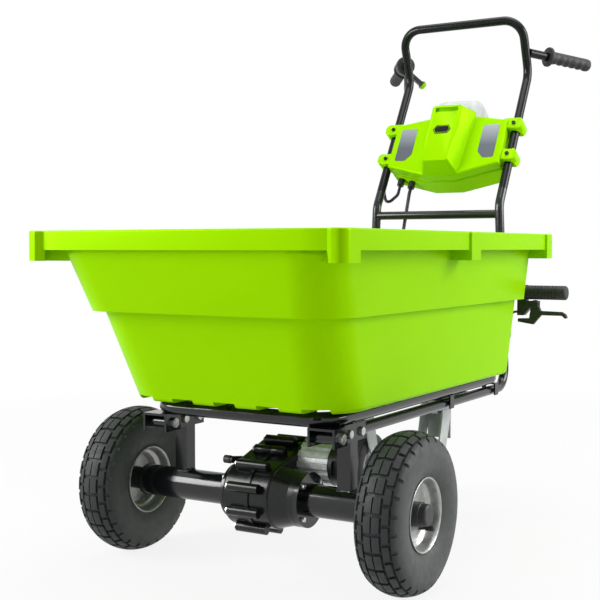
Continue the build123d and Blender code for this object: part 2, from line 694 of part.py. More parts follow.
with BuildPart() as idler_gear:
    with BuildSketch(along_x(CASE_OUT_RIGHT + CASE_WALL - BLIND + RUN_GAP)):
        with Locations(IDLER_AT):
            Circle(IDLER_SHAFT_R)
    extrude(amount=COVER_FACE - CASE_OUT_RIGHT - CASE_WALL + 2 * BLIND - 2 * RUN_GAP)
    with BuildSketch(along_x(RING_FROM + 2)):
        gear_sketch(IDLER_SMALL_TEETH, IDLER_AT, MOTOR_ANGLE + 180)
    extrude(amount=BIG_FROM - RING_FROM - 2)
    with BuildSketch(along_x(BIG_FROM)):
        gear_sketch(IDLER_BIG_TEETH, IDLER_AT, MOTOR_ANGLE + 180 / IDLER_BIG_TEETH)
    extrude(amount=GEAR_FACE)
keep(idler_gear.part, "idler_gear")

ROTOR_FROM = MOTOR_FACE + (MOTOR_LENGTH - ROTOR_LENGTH) / 2
with BuildPart() as motor_rotor:
    with BuildSketch(along_x(BIG_FROM + 1)):
        gear_sketch(PINION_TEETH, MOTOR_AT, MOTOR_ANGLE + 180)
    extrude(amount=GEAR_FACE)
    with BuildSketch(along_x(BIG_FROM + 1)):
        with Locations(MOTOR_AT):
            Circle(ROTOR_SHAFT_R)
    extrude(amount=MOTOR_FACE + MOTOR_LENGTH + CAP_LENGTH / 2 - BIG_FROM - 1)
    with BuildSketch(along_x(ROTOR_FROM)):
        with Locations(MOTOR_AT):
            Circle(ROTOR_DIA / 2)
    extrude(amount=ROTOR_LENGTH)
keep(motor_rotor.part, "motor_rotor")

# Motor: finned aluminium housing and end cap
with BuildPart() as motor_housing:
    with BuildSketch(along_x(MOTOR_FACE)):
        with Locations(MOTOR_AT):
            Circle(MOTOR_DIA / 2 - FIN_HEIGHT)
            with PolarLocations(MOTOR_DIA / 2 - FIN_HEIGHT, FIN_COUNT):
                Rectangle(2 * FIN_HEIGHT, FIN_WIDTH)
            Circle(MOTOR_BORE / 2, mode=Mode.SUBTRACT)
    extrude(amount=MOTOR_LENGTH)
    with Locations((MOTOR_CABLE_X, AXLE_Y + MOTOR_AT[0], WHEEL_R + MOTOR_AT[1] + MOTOR_DIA / 2 - FIN_HEIGHT)):
        Cylinder(
            GLAND_DIA / 2 - 0.5, 4 * FIN_HEIGHT, mode=Mode.SUBTRACT,
            align=(Align.CENTER, Align.CENTER, Align.MIN),
        )
keep(motor_housing.part, "motor_housing")

with BuildPart() as motor_end_cap:
    with BuildSketch(along_x(MOTOR_FACE + MOTOR_LENGTH)):
        with Locations(MOTOR_AT):
            Circle(MOTOR_DIA / 2 - 1)
    extrude(amount=CAP_LENGTH)
    fillet(motor_end_cap.faces().sort_by(Axis.X)[-1].edges(), radius=5)
    with BuildSketch(along_x(MOTOR_FACE + MOTOR_LENGTH)):
        with Locations(MOTOR_AT):
            Circle(ROTOR_SHAFT_R + FIT)
    extrude(amount=CAP_LENGTH / 2 + RUN_GAP, mode=Mode.SUBTRACT)
    with BuildSketch(along_x(MOTOR_FACE + MOTOR_LENGTH + 8)):
        with Locations((MOTOR_AT[0] - MOTOR_DIA / 2, MOTOR_AT[1])):
            Rectangle(16, 24)
    extrude(amount=CAP_LENGTH, mode=Mode.SUBTRACT)
keep(motor_end_cap.part, "motor_end_cap")

# Free-wheel lever on the gearbox's right face
FREEWHEEL_LENGTH = 54.0
FREEWHEEL_THICK = 5.0
with BuildPart() as freewheel_lever:
    with BuildSketch(along_x(CASE_OUT_RIGHT + BLIND - RUN_GAP)):
        with Locations(FREEWHEEL_AT):
            Circle(FREEWHEEL_PIN_R)
    extrude(amount=-BLIND)
    with BuildSketch(along_x(CASE_OUT_RIGHT - RUN_GAP)):
        with Locations((FREEWHEEL_AT[0] - FREEWHEEL_LENGTH / 2, FREEWHEEL_AT[1] + 4)):
            SlotCenterToCenter(FREEWHEEL_LENGTH, 12, rotation=-8.5)
    extrude(amount=-FREEWHEEL_THICK)
    with BuildSketch(along_x(CASE_OUT_RIGHT - RUN_GAP - FREEWHEEL_THICK)):
        with Locations((FREEWHEEL_AT[0] - FREEWHEEL_LENGTH, FREEWHEEL_AT[1] + 8)):
            Circle(7)
    extrude(amount=-12)
keep(freewheel_lever.part, "freewheel_lever")

# Posts: square tubes welded on the axle, with a saddle that holds the rail
SADDLE_Z = RAIL_Z - RAIL_R - WELD_GAP
with BuildPart() as post:
    with BuildSketch(Plane.XY.offset(WHEEL_R)):
        with Locations((RAIL_X, POST_Y)):
            Rectangle(POST_SIDE, POST_SIDE)
            Rectangle(POST_SIDE - 2 * POST_WALL, POST_SIDE - 2 * POST_WALL, mode=Mode.SUBTRACT)
    extrude(amount=SADDLE_Z - SADDLE_PLATE - WHEEL_R)
    with BuildSketch(along_x(RAIL_X - POST_SIDE)):
        Circle(AXLE_TUBE_R + WELD_GAP)
    extrude(amount=2 * POST_SIDE, mode=Mode.SUBTRACT)
    with Locations((RAIL_X, POST_Y, SADDLE_Z - SADDLE_PLATE)):
        Box(
            RAIL_DIA + 2 * SADDLE_ROOM + 2 * SADDLE_PLATE, SADDLE_LENGTH, SADDLE_HEIGHT,
            align=(Align.CENTER, Align.CENTER, Align.MIN),
        )
    with Locations((RAIL_X, POST_Y, SADDLE_Z)):
        Box(
            RAIL_DIA + 2 * SADDLE_ROOM, SADDLE_LENGTH, SADDLE_HEIGHT,
            align=(Align.CENTER, Align.CENTER, Align.MIN), mode=Mode.SUBTRACT,
        )
    with Locations(Plane(origin=(RAIL_X, POST_Y, RAIL_Z), z_dir=(1, 0, 0), x_dir=(0, 1, 0))):
        with Locations((-POST_BOLT_PITCH / 2, 0), (POST_BOLT_PITCH / 2, 0)):
            Cylinder(POST_BOLT_DIA / 2 + FIT, 4 * RAIL_DIA, mode=Mode.SUBTRACT)
keep_pair(post.part, "post")

# Rails: from the hinge sleeve back along the cart and up as the lower legs
LEAN = atan2(KINK_Y - LEG_Y, KINK_Z - LEAN_Z)
SOCKET_TOP = (LEG_X, LEG_Y + LEG_SOCKET * sin(LEAN), LEAN_Z + LEG_SOCKET * cos(LEAN))
SLEEVE_LENGTH = BRACKET_WIDTH - 2 * BRACKET_PLATE - 2 * RUN_GAP
SPIGOT_R = RAIL_R - TUBE_WALL - FIT
SPIGOT_LENGTH = 25.0
LEG_FOOT = (RAIL_X, LEG_Y, RAIL_Z)
LEG_HEAD = (LEG_X, LEG_Y, LEAN_Z)
LEAN_WAY = Vector(0, sin(LEAN), cos(LEAN))
with BuildPart() as rail:
    with BuildLine() as rail_route:
        bent_path([(RAIL_X, HINGE_Y, RAIL_Z), LEG_FOOT, LEG_HEAD, SOCKET_TOP], RAIL_BEND)
    with BuildSketch(Plane(origin=rail_route.line @ 0, z_dir=rail_route.line % 0)):
        Circle(RAIL_R)
        Circle(RAIL_R - TUBE_WALL, mode=Mode.SUBTRACT)
    sweep()
    add(rod(Vector(SOCKET_TOP) - LEAN_WAY * 3, Vector(SOCKET_TOP) + LEAN_WAY * SPIGOT_LENGTH, SPIGOT_R))
    add(rod(Vector(SOCKET_TOP) - LEAN_WAY * 3, Vector(SOCKET_TOP), RAIL_R - TUBE_WALL / 2))
    with Locations(Plane(origin=(RAIL_X, HINGE_Y, RAIL_Z), z_dir=(1, 0, 0))):
        Cylinder(SLEEVE_DIA / 2, SLEEVE_LENGTH)
        Cylinder(PIVOT_DIA / 2 + FIT, SLEEVE_LENGTH, mode=Mode.SUBTRACT)
    with Locations(Plane(origin=(RAIL_X, POST_Y, RAIL_Z), z_dir=(1, 0, 0), x_dir=(0, 1, 0))):
        with Locations((-POST_BOLT_PITCH / 2, 0), (POST_BOLT_PITCH / 2, 0)):
            Cylinder(POST_BOLT_DIA / 2 + FIT, 4 * RAIL_DIA, mode=Mode.SUBTRACT)
keep_pair(rail.part, "rail")

# Crossbar and latch striker between the legs, fitted to their round sides
LEG_SIDES = [
    rod((side * RAIL_X, LEG_Y, RAIL_Z), (side * LEG_X, LEG_Y, LEAN_Z), RAIL_R + WELD_GAP) for side in (-1, 1)
]
for height, name in ((CROSS_Z, "handle_crossbar"), (STRIKER_Z, "latch_striker")):
    leg_x = LEG_X + (RAIL_X - LEG_X) * (LEAN_Z - height) / (LEAN_Z - RAIL_Z)
    with BuildPart() as spreader:
        with BuildSketch(Plane(origin=(-leg_x, LEG_Y, height), z_dir=(1, 0, 0))):
            Circle(CROSS_DIA / 2)
            Circle(CROSS_DIA / 2 - TUBE_WALL, mode=Mode.SUBTRACT)
        extrude(amount=2 * leg_x)
        for leg_side in LEG_SIDES:
            add(leg_side, mode=Mode.SUBTRACT)
    keep(spreader.part, name)

# Handle: plugged on the legs, up to the kink, forward to the top bar, with swept handlebars
BOX = Plane(origin=(0, LEG_Y, LEAN_Z), x_dir=(1, 0, 0), z_dir=(0, -cos(LEAN), sin(LEAN)))
SCREW_PLACES = [(side * LEG_X, place) for side in (-1, 1) for place in LUG_PLACES]
BAR_START = Vector(LEG_X, KINK_Y + (TOP_Y - KINK_Y) * (BAR_Z - KINK_Z) / (TOP_Z - KINK_Z), BAR_Z)
BAR_WAY = (Vector(BAR_END) - BAR_START).normalized()
BAR_LENGTH = (Vector(BAR_END) - BAR_START).length
BAR_R = BAR_DIA / 2
HANDLE_ROUTE = [SOCKET_TOP, (LEG_X, KINK_Y, KINK_Z), (LEG_X, TOP_Y, TOP_Z)]
HANDLE_ROUTE += [(-x, y, z) for x, y, z in reversed(HANDLE_ROUTE)]
with BuildPart() as handle:
    add(tube(HANDLE_ROUTE, HANDLE_BEND, RAIL_DIA))
    add(rod(BAR_START + BAR_WAY * RAIL_R, Vector(BAR_END), BAR_R))
    mirror(about=Plane.YZ)
    with BuildSketch(BOX.offset(-RAIL_DIA)):
        with Locations(*SCREW_PLACES):
            Circle(BOX_SCREW_DIA / 2 + FIT)
    extrude(amount=2 * RAIL_DIA, mode=Mode.SUBTRACT)
keep(handle.part, "handle_loop")

# Grips: a flange at the inner end and rings round the outer part
GRIP_IN = (Vector(-0.65, 0.37, -0.66) - BAR_WAY * Vector(-0.65, 0.37, -0.66).dot(BAR_WAY)).normalized()
GRIP_PLANE = Plane(origin=BAR_START, x_dir=BAR_WAY, z_dir=GRIP_IN)
GRIP_R = GRIP_DIA / 2
RIB_PITCH = 7.5
RIB_CUT = 1.3
GRIP_TIP = BAR_LENGTH + 5
with BuildPart() as grip:
    with BuildSketch(GRIP_PLANE):
        with BuildLine():
            Polyline(
                (GRIP_START, BAR_R + FIT), (GRIP_START, GRIP_FLANGE_DIA / 2),
                (GRIP_START + GRIP_FLANGE, GRIP_FLANGE_DIA / 2), (GRIP_START + GRIP_FLANGE, GRIP_R),
                (GRIP_TIP - 4, GRIP_R), (GRIP_TIP, GRIP_R - 4), (GRIP_TIP, 0), (BAR_LENGTH + FIT, 0),
                (BAR_LENGTH + FIT, BAR_R + FIT),
                close=True,
            )
        make_face()
        for rib in range(GRIP_RIBS):
            with Locations((GRIP_TIP - 12 - rib * RIB_PITCH, GRIP_R)):
                Rectangle(RIB_PITCH / 3, 2 * RIB_CUT, mode=Mode.SUBTRACT)
    revolve(axis=Axis(BAR_START, BAR_WAY))
keep_pair(grip.part, "grip")

# Throttle on the right bar: a round housing and a thumb lever that turns on the bar
def on_bar(distance):
    """A plane across the left bar, local x towards the thumb."""
    return Plane(origin=BAR_START + BAR_WAY * distance, x_dir=GRIP_IN, z_dir=BAR_WAY)


with BuildPart() as throttle_housing:
    with BuildSketch(on_bar(THROTTLE_START)):
        Circle(THROTTLE_DIA / 2)
        Circle(BAR_R + FIT, mode=Mode.SUBTRACT)
    extrude(amount=THROTTLE_LENGTH)
    fillet(throttle_housing.edges().filter_by(GeomType.CIRCLE).sort_by(SortBy.RADIUS)[-2:], radius=3)
keep(mirror(throttle_housing.part, about=Plane.YZ), "throttle_housing")

THUMB_FROM = THROTTLE_START + THROTTLE_LENGTH + RUN_GAP
THUMB_RING_LENGTH = GRIP_START - RUN_GAP - THUMB_FROM
with BuildPart() as throttle_lever:
    with BuildSketch(on_bar(THUMB_FROM)):
        Circle(THUMB_RING_DIA / 2)
        with Locations((THUMB_REACH / 2, 0)):
            Rectangle(THUMB_REACH, 9)
        with Locations((THUMB_REACH, 0)):
            Circle(8)
        Circle(BAR_R + FIT, mode=Mode.SUBTRACT)
    extrude(amount=THUMB_RING_LENGTH)
keep(mirror(throttle_lever.part, about=Plane.YZ), "throttle_lever")

# Frame under the tub, with the hinge brackets, rail clips and latch lugs welded on
TUB_TUBE_R = TUB_TUBE_DIA / 2
FRAME_UNDER = TUB_FRAME_Z - TUB_TUBE_R
WELD_IN = 1.5
BRACKET_HEIGHT = FRAME_UNDER + WELD_IN - RAIL_Z + SLEEVE_DIA / 2 + 4
CLIP_HALF = RAIL_R + 2
LUG_PLATE = 4.0


def hanging(y):
    """A plane across Y over the rail, local y downwards from the underside of the frame tube."""
    return Plane(origin=(RAIL_X, y, FRAME_UNDER + WELD_IN), x_dir=(1, 0, 0), z_dir=(0, 1, 0))


FRAME_ROUTE = [
    (0, TUB_FRAME_FRONT, TUB_FRAME_Z), (TUB_FRAME_X, TUB_FRAME_FRONT, TUB_FRAME_Z),
    (TUB_FRAME_X, TUB_FRAME_REAR, TUB_FRAME_Z), (0, TUB_FRAME_REAR, TUB_FRAME_Z),
]
with BuildPart() as tub_frame:
    add(tube(FRAME_ROUTE, TUB_FRAME_BEND, TUB_TUBE_DIA))
    for place in TUB_BOLT_PLACES:
        with Locations((TUB_FRAME_X, place, TUB_FRAME_Z)):
            Cylinder(
                TUB_BOLT_DIA / 2 + FIT, TUB_TUBE_DIA,
                align=(Align.CENTER, Align.CENTER, Align.MIN), mode=Mode.SUBTRACT,
            )
    with BuildSketch(hanging(HINGE_Y - BRACKET_LENGTH / 2)):
        with Locations((0, BRACKET_HEIGHT / 2)):
            Rectangle(BRACKET_WIDTH, BRACKET_HEIGHT)
        with Locations((0, BRACKET_PLATE + BRACKET_HEIGHT / 2)):
            Rectangle(BRACKET_WIDTH - 2 * BRACKET_PLATE, BRACKET_HEIGHT, mode=Mode.SUBTRACT)
    extrude(amount=BRACKET_LENGTH)
    with Locations(Plane(origin=(RAIL_X, HINGE_Y, RAIL_Z), z_dir=(1, 0, 0))):
        Cylinder(PIVOT_DIA / 2 + FIT, 2 * BRACKET_WIDTH, mode=Mode.SUBTRACT)
    for place in CLIP_PLACES:
        with BuildSketch(hanging(place - CLIP_LENGTH / 2)):
            with Locations((0, CLIP_DEPTH / 2)):
                Rectangle(2 * CLIP_HALF + 2 * CLIP_PLATE, CLIP_DEPTH)
            with Locations((0, CLIP_PLATE + CLIP_DEPTH / 2)):
                Rectangle(2 * CLIP_HALF, CLIP_DEPTH, mode=Mode.SUBTRACT)
        extrude(amount=CLIP_LENGTH)
    with BuildSketch(Plane(origin=(HOOK_THICK / 2 + RUN_GAP, 0, 0), x_dir=(0, 1, 0), z_dir=(1, 0, 0))):
        Polygon(
            (TUB_FRAME_REAR - 4, TUB_FRAME_Z + 8), (TUB_FRAME_REAR + 8, TUB_FRAME_Z + 2),
            (HOOK_PIVOT_Y + 9, HOOK_PIVOT_Z - 8), (HOOK_PIVOT_Y + 9, HOOK_PIVOT_Z + 9),
            (HOOK_PIVOT_Y - 9, HOOK_PIVOT_Z + 9),
            align=None,
        )
    extrude(amount=LUG_PLATE)
    mirror(about=Plane.YZ)
    with Locations(Plane(origin=(0, HOOK_PIVOT_Y, HOOK_PIVOT_Z), z_dir=(1, 0, 0))):
        Cylinder(HOOK_PIN_DIA / 2, HOOK_THICK + 2 * RUN_GAP + 2 * LUG_PLATE + 4)
keep(tub_frame.part, "tub_frame")

# Pivot bolts of the tub hinge, with a nut on the inner side
PIVOT_REACH = BRACKET_WIDTH / 2 + 7
with BuildPart() as pivot_bolts:
    for side in (-1, 1):
        with Locations(Plane(origin=(side * RAIL_X, HINGE_Y, RAIL_Z), z_dir=(1, 0, 0))):
            Cylinder(PIVOT_DIA / 2, 2 * PIVOT_REACH)
        for end in (-1, 1):
            face_x = side * RAIL_X + end * BRACKET_WIDTH / 2
            with BuildSketch(Plane(origin=(face_x, HINGE_Y, RAIL_Z), z_dir=(end, 0, 0))):
                RegularPolygon(9, 6)
            extrude(amount=6)
keep(pivot_bolts.part, "pivot_bolts")

# Latch hook under the striker, and the tab its cable pulls
HOOK_TOP = STRIKER_Z - CROSS_DIA / 2 - 2
with BuildPart() as latch_hook:
    with BuildSketch(Plane(origin=(-HOOK_THICK / 2, 0, 0), x_dir=(0, 1, 0), z_dir=(1, 0, 0))):
        Polygon(
            (HOOK_PIVOT_Y - 9, HOOK_PIVOT_Z + 10), (HOOK_PIVOT_Y - 5, HOOK_PIVOT_Z + 28),
            (HOOK_PIVOT_Y + 4, HOOK_PIVOT_Z + 28), (HOOK_PIVOT_Y + 9, HOOK_PIVOT_Z + 10),
            (HOOK_PIVOT_Y + 13, HOOK_TOP), (LEG_Y + 8, HOOK_TOP), (LEG_Y + 10, HOOK_TOP - 5),
            (LEG_Y + 5, HOOK_TOP - 10), (HOOK_PIVOT_Y + 6, HOOK_TOP - 10),
            (HOOK_PIVOT_Y - 5, HOOK_PIVOT_Z - 16),
            align=None,
        )
        with Locations((HOOK_PIVOT_Y, HOOK_PIVOT_Z)):
            Circle(HOOK_PIN_DIA / 2 + FIT, mode=Mode.SUBTRACT)
    extrude(amount=HOOK_THICK)
keep(latch_hook.part, "latch_hook")

# Tub: tapered, stepped moulding with a skirted rim, corner blocks and a channelled floor
def rounded(half, front, rear, front_corner, rear_corner, inset=0.0, mode=Mode.ADD):
    """A rectangle across the cart with rounded front and rear corners, drawn in by inset."""
    side = half - inset
    nose = front + inset
    tail = rear - inset
    front_r = max(front_corner - inset, 1.0)
    rear_r = max(rear_corner - inset, 1.0)
    with BuildLine() as outline:
        Line((front_r - side, nose), (side - front_r, nose))
        JernArc((side - front_r, nose), (1, 0), front_r, 90)
        Line((side, nose + front_r), (side, tail - rear_r))
        JernArc((side, tail - rear_r), (0, 1), rear_r, 90)
        Line((side - rear_r, tail), (rear_r - side, tail))
        JernArc((rear_r - side, tail), (-1, 0), rear_r, 90)
        Line((-side, tail - rear_r), (-side, nose + front_r))
        JernArc((-side, nose + front_r), (0, -1), front_r, 90)
    make_face(outline.edges(), mode=mode)


FLOOR_OUTLINE = (FLOOR_HALF, FLOOR_FRONT, FLOOR_REAR, FLOOR_CORNER, FLOOR_REAR_CORNER)
STEP_OUTLINE = (STEP_HALF, STEP_FRONT, STEP_REAR, STEP_CORNER, STEP_REAR_CORNER)
LEDGE_OUTLINE = (
    STEP_HALF + LEDGE_OUT, STEP_FRONT - LEDGE_OUT, STEP_REAR + LEDGE_OUT_REAR, STEP_CORNER, STEP_REAR_CORNER,
)
TOP_OUTLINE = (TOP_HALF, TOP_FRONT, TOP_REAR, TOP_CORNER, TOP_REAR_CORNER)
RIM_OUTLINE = (RIM_HALF_WIDTH, RIM_FRONT, RIM_REAR, RIM_CORNER, RIM_CORNER)
PILASTER_FROM = PILASTER_Y - PILASTER_LENGTH / 2
PILASTER_TO = PILASTER_Y + PILASTER_LENGTH / 2
BLOCK_END = RIM_FRONT + BLOCK_ALONG
REAR_BLOCK_FROM = RIM_REAR - BLOCK_ALONG
FLOOR_UNDER = FLOOR_Z - FLOOR_THICK
SEAT_GAP = 0.3             # between the pads and the frame tube
TUB_BOLT_SPOTS = [(side * TUB_FRAME_X, place) for side in (-1, 1) for place in TUB_BOLT_PLACES]
with BuildPart() as tub:
    with BuildSketch(Plane.XY.offset(FLOOR_UNDER)):
        rounded(*FLOOR_OUTLINE)
    with BuildSketch(Plane.XY.offset(LEDGE_Z)):
        rounded(*STEP_OUTLINE)
    loft(ruled=True)
    fillet(tub.edges().group_by(Axis.Z)[0], radius=10)
    with BuildSketch(Plane.XY.offset(LEDGE_Z)):
        rounded(*LEDGE_OUTLINE)
    with BuildSketch(Plane.XY.offset(RIM_BASE_Z)):
        rounded(*TOP_OUTLINE)
    loft(ruled=True)
    with BuildSketch(Plane.XY.offset(RIM_BASE_Z)):
        rounded(*TOP_OUTLINE)
    extrude(amount=RIM_Z - RIM_BASE_Z)
    with BuildSketch(Plane.XY.offset(RIM_Z)):
        rounded(*RIM_OUTLINE, inset=BLOCK_PROUD)
    extrude(amount=-TUB_WALL)
    with BuildSketch(Plane.XY.offset(RIM_Z)):
        rounded(*RIM_OUTLINE, inset=BLOCK_PROUD)
        rounded(*RIM_OUTLINE, inset=BLOCK_PROUD + TUB_WALL, mode=Mode.SUBTRACT)
    extrude(amount=-SKIRT_DROP)
    with BuildSketch(Plane.XY.offset(RIM_Z)):
        rounded(*RIM_OUTLINE)
        rounded(*RIM_OUTLINE, inset=BLOCK_PROUD + TUB_WALL, mode=Mode.SUBTRACT)
        with Locations((0, RIM_FRONT)):
            Rectangle(2 * (RIM_HALF_WIDTH - BLOCK_ACROSS), BLOCK_ALONG, mode=Mode.SUBTRACT)
        with Locations((0, RIM_REAR)):
            Rectangle(2 * (RIM_HALF_WIDTH - BLOCK_ACROSS), BLOCK_ALONG, mode=Mode.SUBTRACT)
        for span_from, span_to in ((BLOCK_END, PILASTER_FROM), (PILASTER_TO, REAR_BLOCK_FROM)):
            with Locations((0, (span_from + span_to) / 2)):
                Rectangle(4 * RIM_HALF_WIDTH, span_to - span_from, mode=Mode.SUBTRACT)
    extrude(amount=-SKIRT_DEEP)
    with BuildSketch(Plane.XY.offset(RIM_Z - TUB_WALL / 2)):
        for rib_from in (BLOCK_END - TUB_WALL, PILASTER_FROM, PILASTER_TO - TUB_WALL, REAR_BLOCK_FROM):
            with Locations((0, rib_from + TUB_WALL / 2)):
                Rectangle(2 * (RIM_HALF_WIDTH - BLOCK_PROUD), TUB_WALL)
    extrude(amount=TUB_WALL / 2 - SKIRT_DEEP)
    with BuildSketch(Plane.XY.offset(FLOOR_Z)):
        rounded(*FLOOR_OUTLINE, inset=TUB_WALL)
    with BuildSketch(Plane.XY.offset(LEDGE_Z + TUB_WALL)):
        rounded(*STEP_OUTLINE, inset=TUB_WALL)
    loft(ruled=True, mode=Mode.SUBTRACT)
    with BuildSketch(Plane.XY.offset(LEDGE_Z + TUB_WALL)):
        rounded(*LEDGE_OUTLINE, inset=TUB_WALL)
    with BuildSketch(Plane.XY.offset(RIM_BASE_Z)):
        rounded(*TOP_OUTLINE, inset=TUB_WALL)
    loft(ruled=True, mode=Mode.SUBTRACT)
    with BuildSketch(Plane.XY.offset(RIM_BASE_Z)):
        rounded(*TOP_OUTLINE, inset=TUB_WALL)
    extrude(amount=RIM_Z - RIM_BASE_Z, mode=Mode.SUBTRACT)
    with BuildSketch(Plane.XY.offset(FLOOR_UNDER)):
        for channel in range(-2, 3):
            with Locations((channel * CHANNEL_PITCH, (FLOOR_FRONT + FLOOR_REAR) / 2)):
                Rectangle(CHANNEL_WIDTH, FLOOR_REAR - FLOOR_FRONT + 40)
    extrude(amount=CHANNEL_DEPTH, mode=Mode.SUBTRACT)
    with BuildSketch(Plane.XY.offset(FLOOR_UNDER - BOLT_PAD_DROP)):
        with Locations(*TUB_BOLT_SPOTS):
            Circle(BOLT_PAD_DIA / 2)
    extrude(amount=CHANNEL_DEPTH + BOLT_PAD_DROP)
    seat = tube(FRAME_ROUTE, TUB_FRAME_BEND, TUB_TUBE_DIA + 2 * SEAT_GAP, 0)
    add(seat, mode=Mode.SUBTRACT)
    add(mirror(seat, about=Plane.YZ), mode=Mode.SUBTRACT)
    with BuildSketch(Plane.XY.offset(FLOOR_Z)):
        with Locations(*TUB_BOLT_SPOTS):
            Circle(TUB_BOLT_HEAD_DIA / 2 + RUN_GAP)
    extrude(amount=-TUB_BOLT_HEAD - FIT, mode=Mode.SUBTRACT)
    with BuildSketch(Plane.XY.offset(FLOOR_Z)):
        with Locations(*TUB_BOLT_SPOTS):
            Circle(TUB_BOLT_DIA / 2 + FIT)
    extrude(amount=-2 * FLOOR_THICK, mode=Mode.SUBTRACT)
keep(tub.part, "tub")

# Bolts that hold the tub to its frame
with BuildPart() as tub_bolts:
    with BuildSketch(Plane.XY.offset(FLOOR_Z - FIT)):
        with Locations(*TUB_BOLT_SPOTS):
            Circle(TUB_BOLT_HEAD_DIA / 2)
    extrude(amount=-TUB_BOLT_HEAD)
    with BuildSketch(Plane.XY.offset(FLOOR_Z - FIT)):
        with Locations(*TUB_BOLT_SPOTS):
            Circle(TUB_BOLT_DIA / 2)
    extrude(amount=TUB_FRAME_Z - 6 - FLOOR_Z)
keep(tub_bolts.part, "tub_bolts")

# Dump bar: two uprights from the rear of the tub frame and a bar across to the grip
with BuildPart() as dump_bar:
    add(
        tube(
            [
                (-DUMP_POST_X, TUB_FRAME_REAR, TUB_FRAME_Z), (-DUMP_POST_X, DUMP_Y, DUMP_Z),
                (DUMP_END_X, DUMP_Y, DUMP_Z),
            ],
            DUMP_BEND, DUMP_DIA, 0,
        )
    )
    add(rod((DUMP_POST_X, TUB_FRAME_REAR, TUB_FRAME_Z), (DUMP_POST_X, DUMP_Y, DUMP_Z), DUMP_DIA / 2))
    with BuildSketch(Plane(origin=(-TUB_FRAME_X, TUB_FRAME_REAR, TUB_FRAME_Z), z_dir=(1, 0, 0))):
        Circle(TUB_TUBE_R + WELD_GAP)
    extrude(amount=2 * TUB_FRAME_X, mode=Mode.SUBTRACT)
keep(dump_bar.part, "dump_bar")

# Ribbed grip on the dump bar, closed at its end
DUMP_GRIP_FROM = DUMP_END_X + 4 - DUMP_GRIP_LENGTH
DUMP_R = DUMP_DIA / 2
with BuildPart() as dump_grip:
    with BuildSketch(Plane(origin=(DUMP_GRIP_FROM, DUMP_Y, DUMP_Z), z_dir=(1, 0, 0))):
        Circle(DUMP_GRIP_DIA / 2)
    extrude(amount=DUMP_GRIP_LENGTH)
    fillet(dump_grip.faces().sort_by(Axis.X)[-1].edges(), radius=5)
    for groove in range(DUMP_GRIP_RIBS - 1):
        groove_at = (DUMP_GRIP_FROM + (groove + 1.4) * DUMP_RIB_PITCH, DUMP_Y, DUMP_Z)
        with BuildSketch(Plane(origin=groove_at, z_dir=(1, 0, 0))):
            Circle(DUMP_GRIP_DIA / 2 + 1)
            Circle(DUMP_GRIP_DIA / 2 - DUMP_RIB_DEPTH, mode=Mode.SUBTRACT)
        extrude(amount=DUMP_RIB_PITCH / 3, mode=Mode.SUBTRACT)
    with BuildSketch(Plane(origin=(DUMP_GRIP_FROM, DUMP_Y, DUMP_Z), z_dir=(1, 0, 0))):
        Circle(DUMP_R + FIT)
    extrude(amount=DUMP_END_X - DUMP_GRIP_FROM + FIT, mode=Mode.SUBTRACT)
keep(dump_grip.part, "dump_grip")

# Lever clamp: a ring on the bar with two cheeks and the lever's pin
CLAMP_FROM = DUMP_GRIP_FROM - RUN_GAP - LEVER_CLAMP_LENGTH
CHEEK_HALF = LEVER_THICK / 2 + RUN_GAP
CLAMP_HALF = CHEEK_HALF + 3.5
LEVER_PLANE = Plane(origin=(0, DUMP_Y, 0), x_dir=(1, 0, 0), z_dir=(0, -1, 0))
with BuildPart() as lever_clamp:
    with BuildSketch(Plane(origin=(CLAMP_FROM, DUMP_Y, DUMP_Z), z_dir=(1, 0, 0))):
        Circle(DUMP_R + 5)
    extrude(amount=LEVER_CLAMP_LENGTH)
    with BuildSketch(LEVER_PLANE.offset(-CLAMP_HALF)):
        Polygon(
            (CLAMP_FROM, DUMP_Z - DUMP_R), (CLAMP_FROM + LEVER_CLAMP_LENGTH, DUMP_Z - DUMP_R),
            (CLAMP_FROM + LEVER_CLAMP_LENGTH, LEVER_PIVOT_Z + 7), (LEVER_PIVOT_X + 8, LEVER_PIVOT_Z + 7),
            (LEVER_PIVOT_X + 8, LEVER_PIVOT_Z - 8),
            (LEVER_PIVOT_X - 10, LEVER_PIVOT_Z - 8), (CLAMP_FROM + 14, LEVER_PIVOT_Z - 24),
            (CLAMP_FROM, LEVER_PIVOT_Z - 24),
            align=None,
        )
    extrude(amount=2 * CLAMP_HALF)
    with BuildSketch(LEVER_PLANE.offset(-CHEEK_HALF)):
        with Locations((LEVER_PIVOT_X + 2, LEVER_PIVOT_Z - 7)):
            Rectangle(26, 38)
    extrude(amount=2 * CHEEK_HALF, mode=Mode.SUBTRACT)
    with BuildSketch(Plane(origin=(CLAMP_FROM - 1, DUMP_Y, DUMP_Z), z_dir=(1, 0, 0))):
        Circle(DUMP_R + FIT)
    extrude(amount=80, mode=Mode.SUBTRACT)
    with BuildSketch(LEVER_PLANE.offset(-CLAMP_HALF - 2)):
        with Locations((LEVER_PIVOT_X, LEVER_PIVOT_Z)):
            Circle(LEVER_PIN_DIA / 2)
    extrude(amount=2 * CLAMP_HALF + 4)
keep(lever_clamp.part, "lever_clamp")

